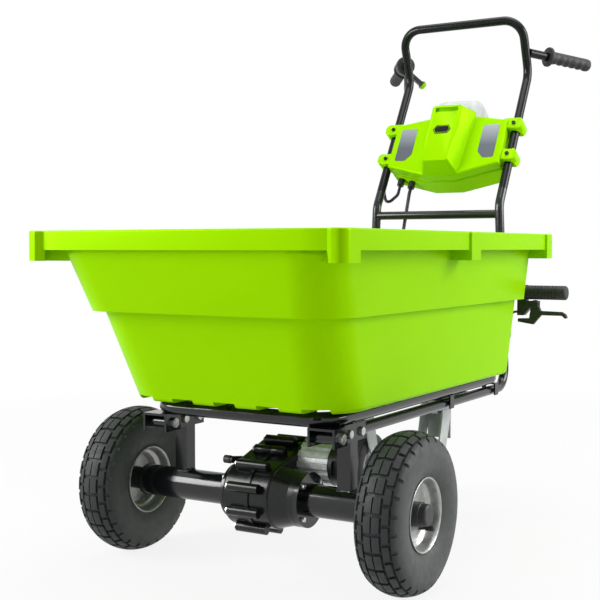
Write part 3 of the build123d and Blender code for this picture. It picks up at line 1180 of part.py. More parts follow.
# Release lever: eye on the pin, cable arm inwards and a finger blade under the grip
with BuildPart() as release_lever:
    with BuildSketch(LEVER_PLANE.offset(-LEVER_THICK / 2)):
        with Locations((LEVER_PIVOT_X, LEVER_PIVOT_Z)):
            Circle(9)
        Polygon(
            (LEVER_PIVOT_X - 8, LEVER_PIVOT_Z - 2), (LEVER_PIVOT_X + 8, LEVER_PIVOT_Z - 2),
            (LEVER_PIVOT_X + 13, LEVER_BLADE_Z + 5), (LEVER_TIP_X - 8, LEVER_BLADE_Z + 4),
            (LEVER_TIP_X, LEVER_BLADE_Z - 1), (LEVER_TIP_X + 3, LEVER_BLADE_Z - 8),
            (LEVER_TIP_X - 1, LEVER_BLADE_Z - 10), (LEVER_TIP_X - 8, LEVER_BLADE_Z - 4),
            (LEVER_PIVOT_X + 14, LEVER_BLADE_Z - 4), (LEVER_PIVOT_X - 3, LEVER_BLADE_Z - 24),
            (LEVER_PIVOT_X - 37, LEVER_BLADE_Z - 19), (LEVER_PIVOT_X - 37, LEVER_BLADE_Z - 12),
            (LEVER_PIVOT_X - 12, LEVER_BLADE_Z - 11),
            align=None,
        )
        with Locations((LEVER_PIVOT_X, LEVER_PIVOT_Z)):
            Circle(LEVER_PIN_DIA / 2 + FIT, mode=Mode.SUBTRACT)
    extrude(amount=LEVER_THICK)
keep(release_lever.part, "release_lever")

# Release cable from the lever clamp down behind the tub to the hook
CABLE_Y = DUMP_Y + 4
CABLE_BEND = 12.0
CABLE_TURN_X = 130.0
keep(
    tube(
        [
            (CLAMP_FROM - WELD_GAP, DUMP_Y, LEVER_PIVOT_Z - 17),
            (CLAMP_FROM - 16, DUMP_Y, LEVER_PIVOT_Z - 17),
            (CLAMP_FROM - 21, CABLE_Y, LEVER_PIVOT_Z - 78), (CABLE_TURN_X, CABLE_Y, HOOK_PIVOT_Z + 16),
            (30, HOOK_PIVOT_Y, HOOK_PIVOT_Z + 23),
            (HOOK_THICK / 2 + RUN_GAP, HOOK_PIVOT_Y, HOOK_PIVOT_Z + 23),
        ],
        CABLE_BEND, RELEASE_CABLE_DIA, 0,
    ),
    "release_cable",
)

# Caster beam between the rails, the casters' top plates with kingpins
BEAM_UNDER = BEAM_TOP_Z - BEAM_HEIGHT
BEAM_WALL = 2.5
BOLT_PLACES_X = CASTER_PLATE_X / 2 - 9
BOLT_PLACES_Y = CASTER_PLATE_Y / 2 - 9
CASTER_BOLT_DIA = 8.0
CASTER_BOLTS = [
    (side * CASTER_X + dx, CASTER_Y + dy)
    for side in (-1, 1) for dx in (-BOLT_PLACES_X, BOLT_PLACES_X) for dy in (-BOLT_PLACES_Y, BOLT_PLACES_Y)
]
with BuildPart() as caster_beam:
    beam_end = (-RAIL_X, CASTER_Y, (BEAM_UNDER + BEAM_TOP_Z) / 2)
    with BuildSketch(Plane(origin=beam_end, x_dir=(0, 1, 0), z_dir=(1, 0, 0))):
        Rectangle(BEAM_LENGTH_Y, BEAM_HEIGHT)
        Rectangle(BEAM_LENGTH_Y - 2 * BEAM_WALL, BEAM_HEIGHT - 2 * BEAM_WALL, mode=Mode.SUBTRACT)
    extrude(amount=2 * RAIL_X)
    for side in (-1, 1):
        rail_from = (side * RAIL_X, CASTER_Y - BEAM_LENGTH_Y, RAIL_Z)
        rail_to = (side * RAIL_X, CASTER_Y + BEAM_LENGTH_Y, RAIL_Z)
        add(rod(rail_from, rail_to, RAIL_R + WELD_GAP), mode=Mode.SUBTRACT)
    with BuildSketch(Plane.XY.offset(BEAM_UNDER)):
        with Locations(*CASTER_BOLTS):
            Circle(CASTER_BOLT_DIA / 2 + FIT)
    extrude(amount=BEAM_HEIGHT, mode=Mode.SUBTRACT)
keep(caster_beam.part, "caster_beam")

PLATE_UNDER = BEAM_UNDER - CASTER_PLATE_THICK
RACE_UNDER = PLATE_UNDER - RUN_GAP - RACE_HEIGHT
FORK_TOP = RACE_UNDER
with BuildPart() as caster_plates:
    for side in (-1, 1):
        with BuildSketch(Plane.XY.offset(PLATE_UNDER)):
            with Locations((side * CASTER_X, CASTER_Y)):
                RectangleRounded(CASTER_PLATE_X, CASTER_PLATE_Y, 8)
            with Locations(*CASTER_BOLTS):
                Circle(CASTER_BOLT_DIA / 2 + FIT, mode=Mode.SUBTRACT)
        extrude(amount=CASTER_PLATE_THICK)
        with BuildSketch(Plane.XY.offset(PLATE_UNDER)):
            with Locations((side * CASTER_X, CASTER_Y)):
                Circle(KINGPIN_DIA / 2)
        extrude(amount=-(RACE_HEIGHT + FORK_SHEET + 3 * RUN_GAP))
        with BuildSketch(Plane.XY.offset(FORK_TOP - FORK_SHEET - RUN_GAP)):
            with Locations((side * CASTER_X, CASTER_Y)):
                Circle(KINGPIN_DIA)
        extrude(amount=-8)
keep(caster_plates.part, "caster_plates")

# Bolts of the post saddles and of the caster plates
with BuildPart() as chassis_bolts:
    for side in (-1, 1):
        for pitch in (-0.5, 0.5):
            spot = (side * RAIL_X, POST_Y + pitch * POST_BOLT_PITCH, RAIL_Z)
            grip_half = RAIL_R + SADDLE_ROOM + SADDLE_PLATE
            with Locations(Plane(origin=spot, z_dir=(1, 0, 0))):
                Cylinder(POST_BOLT_DIA / 2, 2 * grip_half)
            for end in (-1, 1):
                outer = (spot[0] + end * grip_half, spot[1], spot[2])
                with BuildSketch(Plane(origin=outer, z_dir=(end, 0, 0))):
                    RegularPolygon(7.5, 6)
                extrude(amount=5)
    with BuildSketch(Plane.XY.offset(PLATE_UNDER)):
        with Locations(*CASTER_BOLTS):
            Circle(CASTER_BOLT_DIA / 2)
    extrude(amount=BEAM_TOP_Z - PLATE_UNDER)
    for level, way in ((PLATE_UNDER, -1), (BEAM_TOP_Z, 1)):
        with BuildSketch(Plane.XY.offset(level)):
            with Locations(*CASTER_BOLTS):
                RegularPolygon(7, 6)
        extrude(amount=way * 5)
keep(chassis_bolts.part, "chassis_bolts")

# Caster fork: race, bridge, closed front, two leaning legs and the riveted axle
CASTER_R = CASTER_DIA / 2
FORK_IN = CASTER_WIDTH / 2 + 3
CASTER_AXLE_Y = CASTER_Y + CASTER_TRAIL
CASTER_PLANE = Plane(origin=(CASTER_X, CASTER_Y, 0), x_dir=(0, 1, 0), z_dir=(1, 0, 0))
with BuildPart() as caster_fork:
    with BuildSketch(Plane.XY.offset(FORK_TOP)):
        with Locations((CASTER_X, CASTER_Y)):
            Circle(RACE_DIA / 2)
    extrude(amount=RACE_HEIGHT)
    fillet(caster_fork.faces().sort_by(Axis.Z)[-1].edges(), radius=4)
    with BuildSketch(Plane.XY.offset(FORK_TOP)):
        with Locations((CASTER_X, CASTER_Y)):
            Rectangle(2 * (FORK_IN + FORK_SHEET), FORK_WIDTH_Y)
            Circle(RACE_DIA / 2)
    extrude(amount=-FORK_SHEET)
    with BuildSketch(Plane.XY.offset(FORK_TOP)):
        with Locations((CASTER_X, CASTER_Y - FORK_WIDTH_Y / 2 + FORK_SHEET / 2)):
            Rectangle(2 * (FORK_IN + FORK_SHEET), FORK_SHEET)
    extrude(amount=-FORK_FRONT)
    for cheek in (-FORK_IN - FORK_SHEET, FORK_IN):
        with BuildSketch(CASTER_PLANE.offset(cheek)):
            with Locations((CASTER_TRAIL, CASTER_R)):
                Circle(15)
            with Locations((-FORK_WIDTH_Y / 2 + 12, FORK_TOP - 12), (FORK_WIDTH_Y / 2 - 12, FORK_TOP - 12)):
                Circle(12)
            make_hull()
            with Locations((0, FORK_TOP - 12)):
                Rectangle(FORK_WIDTH_Y, 24)
        extrude(amount=FORK_SHEET)
    with BuildSketch(CASTER_PLANE.offset(-FORK_IN - FORK_SHEET - 4)):
        with Locations((CASTER_TRAIL, CASTER_R)):
            Circle(CASTER_AXLE_DIA / 2)
    extrude(amount=2 * (FORK_IN + FORK_SHEET + 4))
    with BuildSketch(Plane.XY.offset(FORK_TOP + RACE_HEIGHT)):
        with Locations((CASTER_X, CASTER_Y)):
            Circle(KINGPIN_DIA / 2 + FIT)
    extrude(amount=-RACE_HEIGHT - FORK_SHEET, mode=Mode.SUBTRACT)
keep_casters(caster_fork.part, "caster_fork")

# Caster wheel: hub with a recessed disc, and a rounded tyre
CASTER_LINE = Axis((0, CASTER_AXLE_Y, CASTER_R), (1, 0, 0))
CASTER_WHEEL = Plane(origin=(CASTER_X, CASTER_AXLE_Y, CASTER_R), x_dir=(1, 0, 0), z_dir=(0, -1, 0))
CASTER_HALF = CASTER_WIDTH / 2
CASTER_HUB_R = CASTER_HUB_DIA / 2
CASTER_BORE_R = CASTER_AXLE_DIA / 2 + FIT
CASTER_BOSS_R = 13.0
BOSS_HALF = FORK_IN - RUN_GAP
DISC_HALF = 5.0
SEAT_HALF = CASTER_HALF - 3
WELL_R = CASTER_HUB_R - 5
with BuildPart() as caster_hub:
    with BuildSketch(CASTER_WHEEL):
        with BuildLine():
            Polyline(
                (-BOSS_HALF, CASTER_BORE_R), (-BOSS_HALF, CASTER_BOSS_R), (-DISC_HALF, CASTER_BOSS_R),
                (-DISC_HALF, WELL_R), (-SEAT_HALF, WELL_R), (-SEAT_HALF, CASTER_HUB_R),
                (SEAT_HALF, CASTER_HUB_R), (SEAT_HALF, WELL_R), (DISC_HALF, WELL_R),
                (DISC_HALF, CASTER_BOSS_R), (BOSS_HALF, CASTER_BOSS_R), (BOSS_HALF, CASTER_BORE_R),
                close=True,
            )
        make_face()
    revolve(axis=CASTER_LINE)
keep_casters(caster_hub.part, "caster_hub")

with BuildPart() as caster_tyre:
    with BuildSketch(CASTER_WHEEL):
        with BuildLine():
            Line((-CASTER_HALF + 4, CASTER_HUB_R + FIT), (CASTER_HALF - 4, CASTER_HUB_R + FIT))
            ThreePointArc(
                (CASTER_HALF - 4, CASTER_HUB_R + FIT), (CASTER_HALF, CASTER_R - 14),
                (CASTER_HALF - 6, CASTER_R - 3),
            )
            ThreePointArc((CASTER_HALF - 6, CASTER_R - 3), (0, CASTER_R), (-CASTER_HALF + 6, CASTER_R - 3))
            ThreePointArc(
                (-CASTER_HALF + 6, CASTER_R - 3), (-CASTER_HALF, CASTER_R - 14),
                (-CASTER_HALF + 4, CASTER_HUB_R + FIT),
            )
        make_face()
    revolve(axis=CASTER_LINE)
keep_casters(caster_tyre.part, "caster_tyre")

# Control box: front and rear covers that meet in the plane of the legs
def box_outline(inset=0.0, mode=Mode.ADD):
    """The box seen from the front, drawn in by inset."""
    half = BOX_HALF - inset
    Polygon(
        (-half, BOX_SIDE_TOP - inset), (-half, BOX_SIDE_LOW + inset), (-BOX_LOW_HALF, BOX_LOW + inset),
        (BOX_LOW_HALF, BOX_LOW + inset), (half, BOX_SIDE_LOW + inset), (half, BOX_SIDE_TOP - inset),
        (BOX_TOP_HALF, BOX_TOP - inset), (-BOX_TOP_HALF, BOX_TOP - inset),
        align=None, mode=mode,
    )


def bay_opening():
    """The battery's way through the top of the box, from the joint plane."""
    with Locations((0, BOX_TOP)):
        Rectangle(2 * (BATTERY_HALF + BAY_GAP), 40)


def in_box(x, along, out):
    """A point from the box's own frame."""
    return BOX.from_local_coords(Vector(x, along, out))


def lug_outlines():
    """The four lugs that reach over the legs."""
    for side in (-1, 1):
        for place in LUG_PLACES:
            with Locations((side * (BOX_HALF + LEG_X + LUG_WIDTH - 16) / 2, place)):
                RectangleRounded(LEG_X + LUG_WIDTH - BOX_HALF + 16, LUG_HEIGHT, 10)


LEG_GROOVES = [
    rod(in_box(side * LEG_X, 0, 0), in_box(side * LEG_X, BOX_TOP + 40, 0), RAIL_R + FIT) for side in (-1, 1)
]


def hump_outline(low, low_half, top, top_half, corner=HUMP_CORNER):
    """The hump seen from the front: narrower below, with rounded corners."""
    with BuildSketch(mode=Mode.PRIVATE) as outline:
        Polygon((-low_half, low), (low_half, low), (top_half, top), (-top_half, top), align=None)
        fillet(outline.vertices(), radius=corner)
    add(outline.sketch)


with BuildPart() as box_front:
    with BuildSketch(BOX):
        box_outline()
    extrude(amount=BOX_FRONT)
    fillet(box_front.faces().sort_by(Axis(BOX.origin, BOX.z_dir))[-1].edges(), radius=5)
    with BuildSketch(BOX.offset(BOX_FRONT - 1)):
        hump_outline(HUMP_LOW, HUMP_LOW_HALF, HUMP_TOP, HUMP_HALF)
    with BuildSketch(BOX.offset(HUMP_FRONT)):
        hump_outline(HUMP_FACE_LOW, HUMP_FACE_LOW_HALF, HUMP_FACE_TOP, HUMP_FACE_HALF)
    loft(ruled=True)
    with BuildSketch(BOX):
        lug_outlines()
    extrude(amount=LUG_FRONT)
    with BuildSketch(BOX):
        box_outline(BOX_SHELL)
    extrude(amount=BOX_FRONT - BOX_SHELL, mode=Mode.SUBTRACT)
    with BuildSketch(BOX.offset(BOX_FRONT - BOX_SHELL - 1)):
        hump_outline(
            HUMP_LOW + 2 * BOX_SHELL, HUMP_LOW_HALF - 2 * BOX_SHELL,
            SLOT_LOW - BOX_SHELL, HUMP_HALF - 2 * BOX_SHELL, HUMP_CORNER - BOX_SHELL,
        )
    with BuildSketch(BOX.offset(HUMP_FRONT - BOX_SHELL)):
        hump_outline(
            HUMP_FACE_LOW + BOX_SHELL, HUMP_FACE_LOW_HALF - BOX_SHELL,
            SLOT_LOW - BOX_SHELL, HUMP_FACE_HALF - BOX_SHELL, HUMP_CORNER - BOX_SHELL,
        )
    loft(ruled=True, mode=Mode.SUBTRACT)
    with BuildSketch(BOX.offset(HUMP_FRONT)):
        with Locations((0, (SLOT_LOW + SLOT_TOP) / 2)):
            RectangleRounded(2 * SLOT_HALF, SLOT_TOP - SLOT_LOW, 3)
    extrude(amount=-SLOT_DEPTH, mode=Mode.SUBTRACT)
    with BuildSketch(BOX):
        bay_opening()
    extrude(amount=BATTERY_FRONT + BAY_GAP, mode=Mode.SUBTRACT)
    for leg in LEG_GROOVES:
        add(leg, mode=Mode.SUBTRACT)
    with BuildSketch(BOX):
        with Locations(*SCREW_PLACES):
            Circle(BOX_SCREW_DIA / 2 + FIT)
    extrude(amount=LUG_FRONT, mode=Mode.SUBTRACT)
keep(box_front.part, "box_front")

# Rear cover with the battery's shelf, the lid's hinge and the cable outlets
LOW_SLOPE = (BOX_SIDE_LOW - BOX_LOW) / (BOX_HALF - BOX_LOW_HALF)
GLAND_R = GLAND_DIA / 2
GLAND_THREAD_R = 5.0
GLANDS = [
    (x, BOX_LOW + LOW_SLOPE * (abs(x) - BOX_LOW_HALF), cable / 2)
    for x, cable in ((MOTOR_GLAND_X, MOTOR_CABLE_DIA), (THROTTLE_GLAND_X, THROTTLE_CABLE_DIA))
]
LID_PIN_R = LID_PIN_DIA / 2
LID_BARREL_R = LID_PIN_R + 3
LID_CHEEK_R = LID_PIN_R + 1.5
LID_PIN = (BOX_TOP + 4, -BOX_REAR - LID_BARREL_R + 1)
HINGE_SIDE = Plane(origin=BOX.origin, x_dir=BOX.y_dir, z_dir=(1, 0, 0))
SHELF = 4.0
with BuildPart() as box_rear:
    with BuildSketch(BOX):
        box_outline()
    extrude(amount=-BOX_REAR)
    fillet(box_rear.faces().sort_by(Axis(BOX.origin, BOX.z_dir))[0].edges(), radius=8)
    with BuildSketch(BOX):
        lug_outlines()
    extrude(amount=-LUG_REAR)
    with BuildSketch(BOX):
        box_outline(BOX_SHELL)
    extrude(amount=-BOX_REAR + BOX_SHELL, mode=Mode.SUBTRACT)
    with BuildSketch(BOX.offset(-BOX_REAR + BOX_SHELL)):
        with Locations((0, BATTERY_LOW - SHELF / 2 - WELD_GAP)):
            Rectangle(2 * BATTERY_HALF + 8, SHELF)
    extrude(amount=BOX_REAR - BOX_SHELL - 10)
    for cheek in (-LID_BARREL - RUN_GAP - LID_CHEEK, LID_BARREL + RUN_GAP):
        with BuildSketch(HINGE_SIDE.offset(cheek)):
            with Locations(LID_PIN):
                Circle(LID_CHEEK_R)
            Polygon(
                (LID_PIN[0], LID_PIN[1] - LID_CHEEK_R), (BOX_TOP - 20, -BOX_REAR + 1),
                (BOX_TOP - 9, -BOX_REAR + 5), (BOX_TOP - 1, -BOX_REAR), LID_PIN,
                align=None,
            )
        extrude(amount=LID_CHEEK)
    with BuildSketch(HINGE_SIDE.offset(-LID_BARREL - RUN_GAP - LID_CHEEK)):
        with Locations(LID_PIN):
            Circle(LID_PIN_R)
    extrude(amount=2 * (LID_BARREL + RUN_GAP + LID_CHEEK))
    with BuildSketch(BOX):
        bay_opening()
    extrude(amount=-BATTERY_REAR - BAY_GAP, mode=Mode.SUBTRACT)
    for leg in LEG_GROOVES:
        add(leg, mode=Mode.SUBTRACT)
    with BuildSketch(BOX):
        with Locations(*SCREW_PLACES):
            Circle(BOX_SCREW_DIA / 2 + FIT)
    extrude(amount=-LUG_REAR, mode=Mode.SUBTRACT)
    for x, facet, cable_r in GLANDS:
        outlet = rod(in_box(x, facet - 6, GLAND_OUT), in_box(x, facet + 10, GLAND_OUT), GLAND_THREAD_R + FIT)
        add(outlet, mode=Mode.SUBTRACT)
keep(box_rear.part, "box_rear")

# Screws that clamp both covers on the legs
with BuildPart() as box_screws:
    for level, depth, radius in (
        (-LUG_REAR, LUG_FRONT + LUG_REAR, BOX_SCREW_DIA / 2), (LUG_FRONT, 3, BOX_SCREW_DIA - 0.5),
        (-LUG_REAR, -4, BOX_SCREW_DIA - 0.5),
    ):
        with BuildSketch(BOX.offset(level)):
            with Locations(*SCREW_PLACES):
                Circle(radius)
        extrude(amount=depth)
keep(box_screws.part, "box_screws")

# Battery, and the controller on the rear cover's wall
with BuildPart() as battery:
    with BuildSketch(BOX.offset(-BATTERY_REAR)):
        with Locations((0, (BATTERY_LOW + BATTERY_TOP) / 2)):
            RectangleRounded(2 * BATTERY_HALF, BATTERY_TOP - BATTERY_LOW, 5)
    extrude(amount=BATTERY_REAR + BATTERY_FRONT)
    with BuildSketch(BOX.offset(-BATTERY_REAR)):
        with Locations((0, BATTERY_TOP - 10)):
            Rectangle(BATTERY_HALF, 8)
    extrude(amount=BATTERY_REAR + BATTERY_FRONT, mode=Mode.SUBTRACT)
keep(battery.part, "battery_pack")

with BuildPart() as controller:
    with BuildSketch(BOX.offset(-BOX_REAR + BOX_SHELL + WELD_GAP)):
        with Locations((CONTROLLER_X, CONTROLLER_Y)):
            RectangleRounded(CONTROLLER_WIDTH, CONTROLLER_HEIGHT, 4)
    extrude(amount=CONTROLLER_DEPTH)
keep(controller.part, "motor_controller")

# Clear lid over the battery, hinged at the back
LID_BASE = BOX_TOP + RUN_GAP
with BuildPart() as battery_lid:
    with BuildSketch(Plane(origin=in_box(0, LID_BASE, 0), x_dir=(1, 0, 0), z_dir=BOX.y_dir)):
        with Locations((0, (BOX_REAR - LID_FRONT) / 2)):
            RectangleRounded(2 * LID_HALF, BOX_REAR + LID_FRONT, LID_CORNER)
    extrude(amount=LID_TOP - LID_BASE)
    fillet(battery_lid.faces().sort_by(Axis(BOX.origin, BOX.y_dir))[-1].edges(), radius=LID_ROUND)
    offset(
        amount=-LID_WALL, openings=battery_lid.faces().sort_by(Axis(BOX.origin, BOX.y_dir))[0],
    )
    with BuildSketch(HINGE_SIDE.offset(-LID_BARREL)):
        with Locations(LID_PIN):
            Circle(LID_BARREL_R)
    extrude(amount=2 * LID_BARREL)
    with BuildSketch(HINGE_SIDE.offset(-LID_BARREL)):
        with Locations(LID_PIN):
            Circle(LID_PIN_R + FIT)
    extrude(amount=2 * LID_BARREL, mode=Mode.SUBTRACT)
keep(battery_lid.part, "battery_lid")

# Cable glands on the box and on the motor
MOTOR_Y = AXLE_Y + MOTOR_AT[0]
GLAND_FOOT_Z = WHEEL_R + MOTOR_AT[1] + MOTOR_DIA / 2 - FIN_HEIGHT
GLAND_SEAT = LOW_SLOPE * GLAND_R
with BuildPart() as cable_glands:
    for x, facet, cable_r in GLANDS:
        seat_at = facet - GLAND_SEAT
        add(rod(in_box(x, seat_at - GLAND_LENGTH, GLAND_OUT), in_box(x, seat_at, GLAND_OUT), GLAND_R))
        add(rod(in_box(x, seat_at, GLAND_OUT), in_box(x, facet + 5, GLAND_OUT), GLAND_THREAD_R))
        mouth = in_box(x, seat_at - GLAND_LENGTH, GLAND_OUT)
        add(rod(mouth, in_box(x, seat_at - WELD_GAP, GLAND_OUT), cable_r + FIT), mode=Mode.SUBTRACT)
    with Locations((MOTOR_CABLE_X, MOTOR_Y, GLAND_FOOT_Z)):
        Cylinder(GLAND_R - 1, GLAND_LENGTH + 2, align=(Align.CENTER, Align.CENTER, Align.MIN))
        Cylinder(
            MOTOR_CABLE_DIA / 2 + FIT, 2 * GLAND_LENGTH, mode=Mode.SUBTRACT,
            align=(Align.CENTER, Align.CENTER, Align.MIN),
        )
keep(cable_glands.part, "cable_glands")

# Motor cable: out of the box, down behind the leg, forward over the caster beam to the motor
x, facet, cable_r = GLANDS[0]
CABLE_Z = BEAM_TOP_Z + MOTOR_CABLE_DIA / 2 + WELD_GAP
CABLE_DROP_Y = LEG_Y + 19.0
keep(
    tube(
        [
            in_box(x, facet - GLAND_SEAT - GLAND_LENGTH / 2, GLAND_OUT), in_box(x, BOX_LOW - 19, GLAND_OUT),
            (-CASTER_X, CABLE_DROP_Y, CROSS_Z - 40), (-CASTER_X, CABLE_DROP_Y, CABLE_Z),
            (-CASTER_X, MOTOR_Y + 55, CABLE_Z), (MOTOR_CABLE_X, MOTOR_Y, CABLE_Z + 16),
            (MOTOR_CABLE_X, MOTOR_Y, GLAND_FOOT_Z + GLAND_LENGTH / 2),
        ],
        MOTOR_CABLE_BEND, MOTOR_CABLE_DIA, 0,
    ),
    "motor_cable",
)

# Throttle cable: a turn under the box, then up behind the right leg to the throttle
x, facet, cable_r = GLANDS[1]
RIGHT_BAR_WAY = Vector(-BAR_WAY.X, BAR_WAY.Y, BAR_WAY.Z)
RIGHT_BAR_START = Vector(-BAR_START.X, BAR_START.Y, BAR_START.Z)
THROTTLE_MIDDLE = RIGHT_BAR_START + RIGHT_BAR_WAY * (THROTTLE_START + THROTTLE_LENGTH / 2)
BELOW_BAR = (Vector(0, 0, -1) - RIGHT_BAR_WAY * Vector(0, 0, -1).dot(RIGHT_BAR_WAY)).normalized()
BESIDE_LEG = -LEG_X - RAIL_R - 7
keep(
    tube(
        [
            in_box(x, facet - GLAND_SEAT - GLAND_LENGTH / 2, GLAND_OUT), in_box(x, BOX_LOW - 21, GLAND_OUT),
            in_box(x - 23, BOX_LOW - 43, GLAND_OUT - 4), in_box(-LEG_X, BOX_LOW - 27, BEHIND_LEG),
            in_box(BESIDE_LEG, BOX_LOW + 15, BEHIND_LEG), in_box(BESIDE_LEG, BOX_TOP + 4, BEHIND_LEG),
            THROTTLE_MIDDLE + BELOW_BAR * 72, THROTTLE_MIDDLE + BELOW_BAR * (THROTTLE_DIA / 2 + WELD_GAP),
        ],
        CABLE_BEND, THROTTLE_CABLE_DIA, 0,
    ),
    "throttle_cable",
)
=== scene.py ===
"""Electric garden cart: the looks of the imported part, seen as in its photograph.

Metres, +Z up. The cart's front looks along -Y, and the operator's left is +X.
"""

import json
from math import cos, hypot, pi, radians, sin

import bmesh
import bpy
from mathutils import Matrix, Vector

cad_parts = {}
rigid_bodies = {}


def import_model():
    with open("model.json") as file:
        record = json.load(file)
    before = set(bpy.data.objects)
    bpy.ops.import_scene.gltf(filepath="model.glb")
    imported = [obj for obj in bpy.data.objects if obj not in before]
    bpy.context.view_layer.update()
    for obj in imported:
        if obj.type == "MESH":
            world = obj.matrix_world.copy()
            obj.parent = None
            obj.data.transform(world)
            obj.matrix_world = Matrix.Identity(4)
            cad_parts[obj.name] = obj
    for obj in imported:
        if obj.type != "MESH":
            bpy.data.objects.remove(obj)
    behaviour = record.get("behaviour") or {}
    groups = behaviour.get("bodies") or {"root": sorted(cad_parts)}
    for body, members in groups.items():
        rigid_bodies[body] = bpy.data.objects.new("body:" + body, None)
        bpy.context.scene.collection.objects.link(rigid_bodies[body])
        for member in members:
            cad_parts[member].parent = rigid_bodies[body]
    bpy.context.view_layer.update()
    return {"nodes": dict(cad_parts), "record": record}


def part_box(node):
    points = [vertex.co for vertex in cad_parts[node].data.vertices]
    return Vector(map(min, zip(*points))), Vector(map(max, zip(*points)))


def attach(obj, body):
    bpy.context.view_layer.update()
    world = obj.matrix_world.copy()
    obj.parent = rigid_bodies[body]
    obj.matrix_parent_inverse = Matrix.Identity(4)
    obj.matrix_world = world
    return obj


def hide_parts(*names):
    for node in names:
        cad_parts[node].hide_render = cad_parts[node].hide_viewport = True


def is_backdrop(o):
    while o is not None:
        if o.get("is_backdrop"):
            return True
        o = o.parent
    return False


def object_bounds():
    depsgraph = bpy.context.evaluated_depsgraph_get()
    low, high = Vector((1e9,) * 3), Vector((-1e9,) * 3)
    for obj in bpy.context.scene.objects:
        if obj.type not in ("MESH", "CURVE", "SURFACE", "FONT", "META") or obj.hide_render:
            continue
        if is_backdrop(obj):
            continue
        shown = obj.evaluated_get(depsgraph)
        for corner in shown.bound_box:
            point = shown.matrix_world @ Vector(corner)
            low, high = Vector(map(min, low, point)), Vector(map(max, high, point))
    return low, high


for leftover in list(bpy.data.objects):
    bpy.data.objects.remove(leftover)
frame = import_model()
nodes = frame["nodes"]
bodies = frame["record"]["behaviour"]["bodies"]
carrier = {node: body for body, members in bodies.items() for node in members}

AXLE_Y = -0.3901
WHEEL_R = 0.1325
WHEEL_X = 0.277
AXLE_CENTRE = (0.0, AXLE_Y, WHEEL_R)
HANDS = ((1, "left"), (-1, "right"))


def tone(code):
    """A linear colour from a hex tone."""
    shares = [int(code[i:i + 2], 16) / 255 for i in (0, 2, 4)]
    return [c / 12.92 if c <= 0.04045 else ((c + 0.055) / 1.055) ** 2.4 for c in shares] + [1.0]


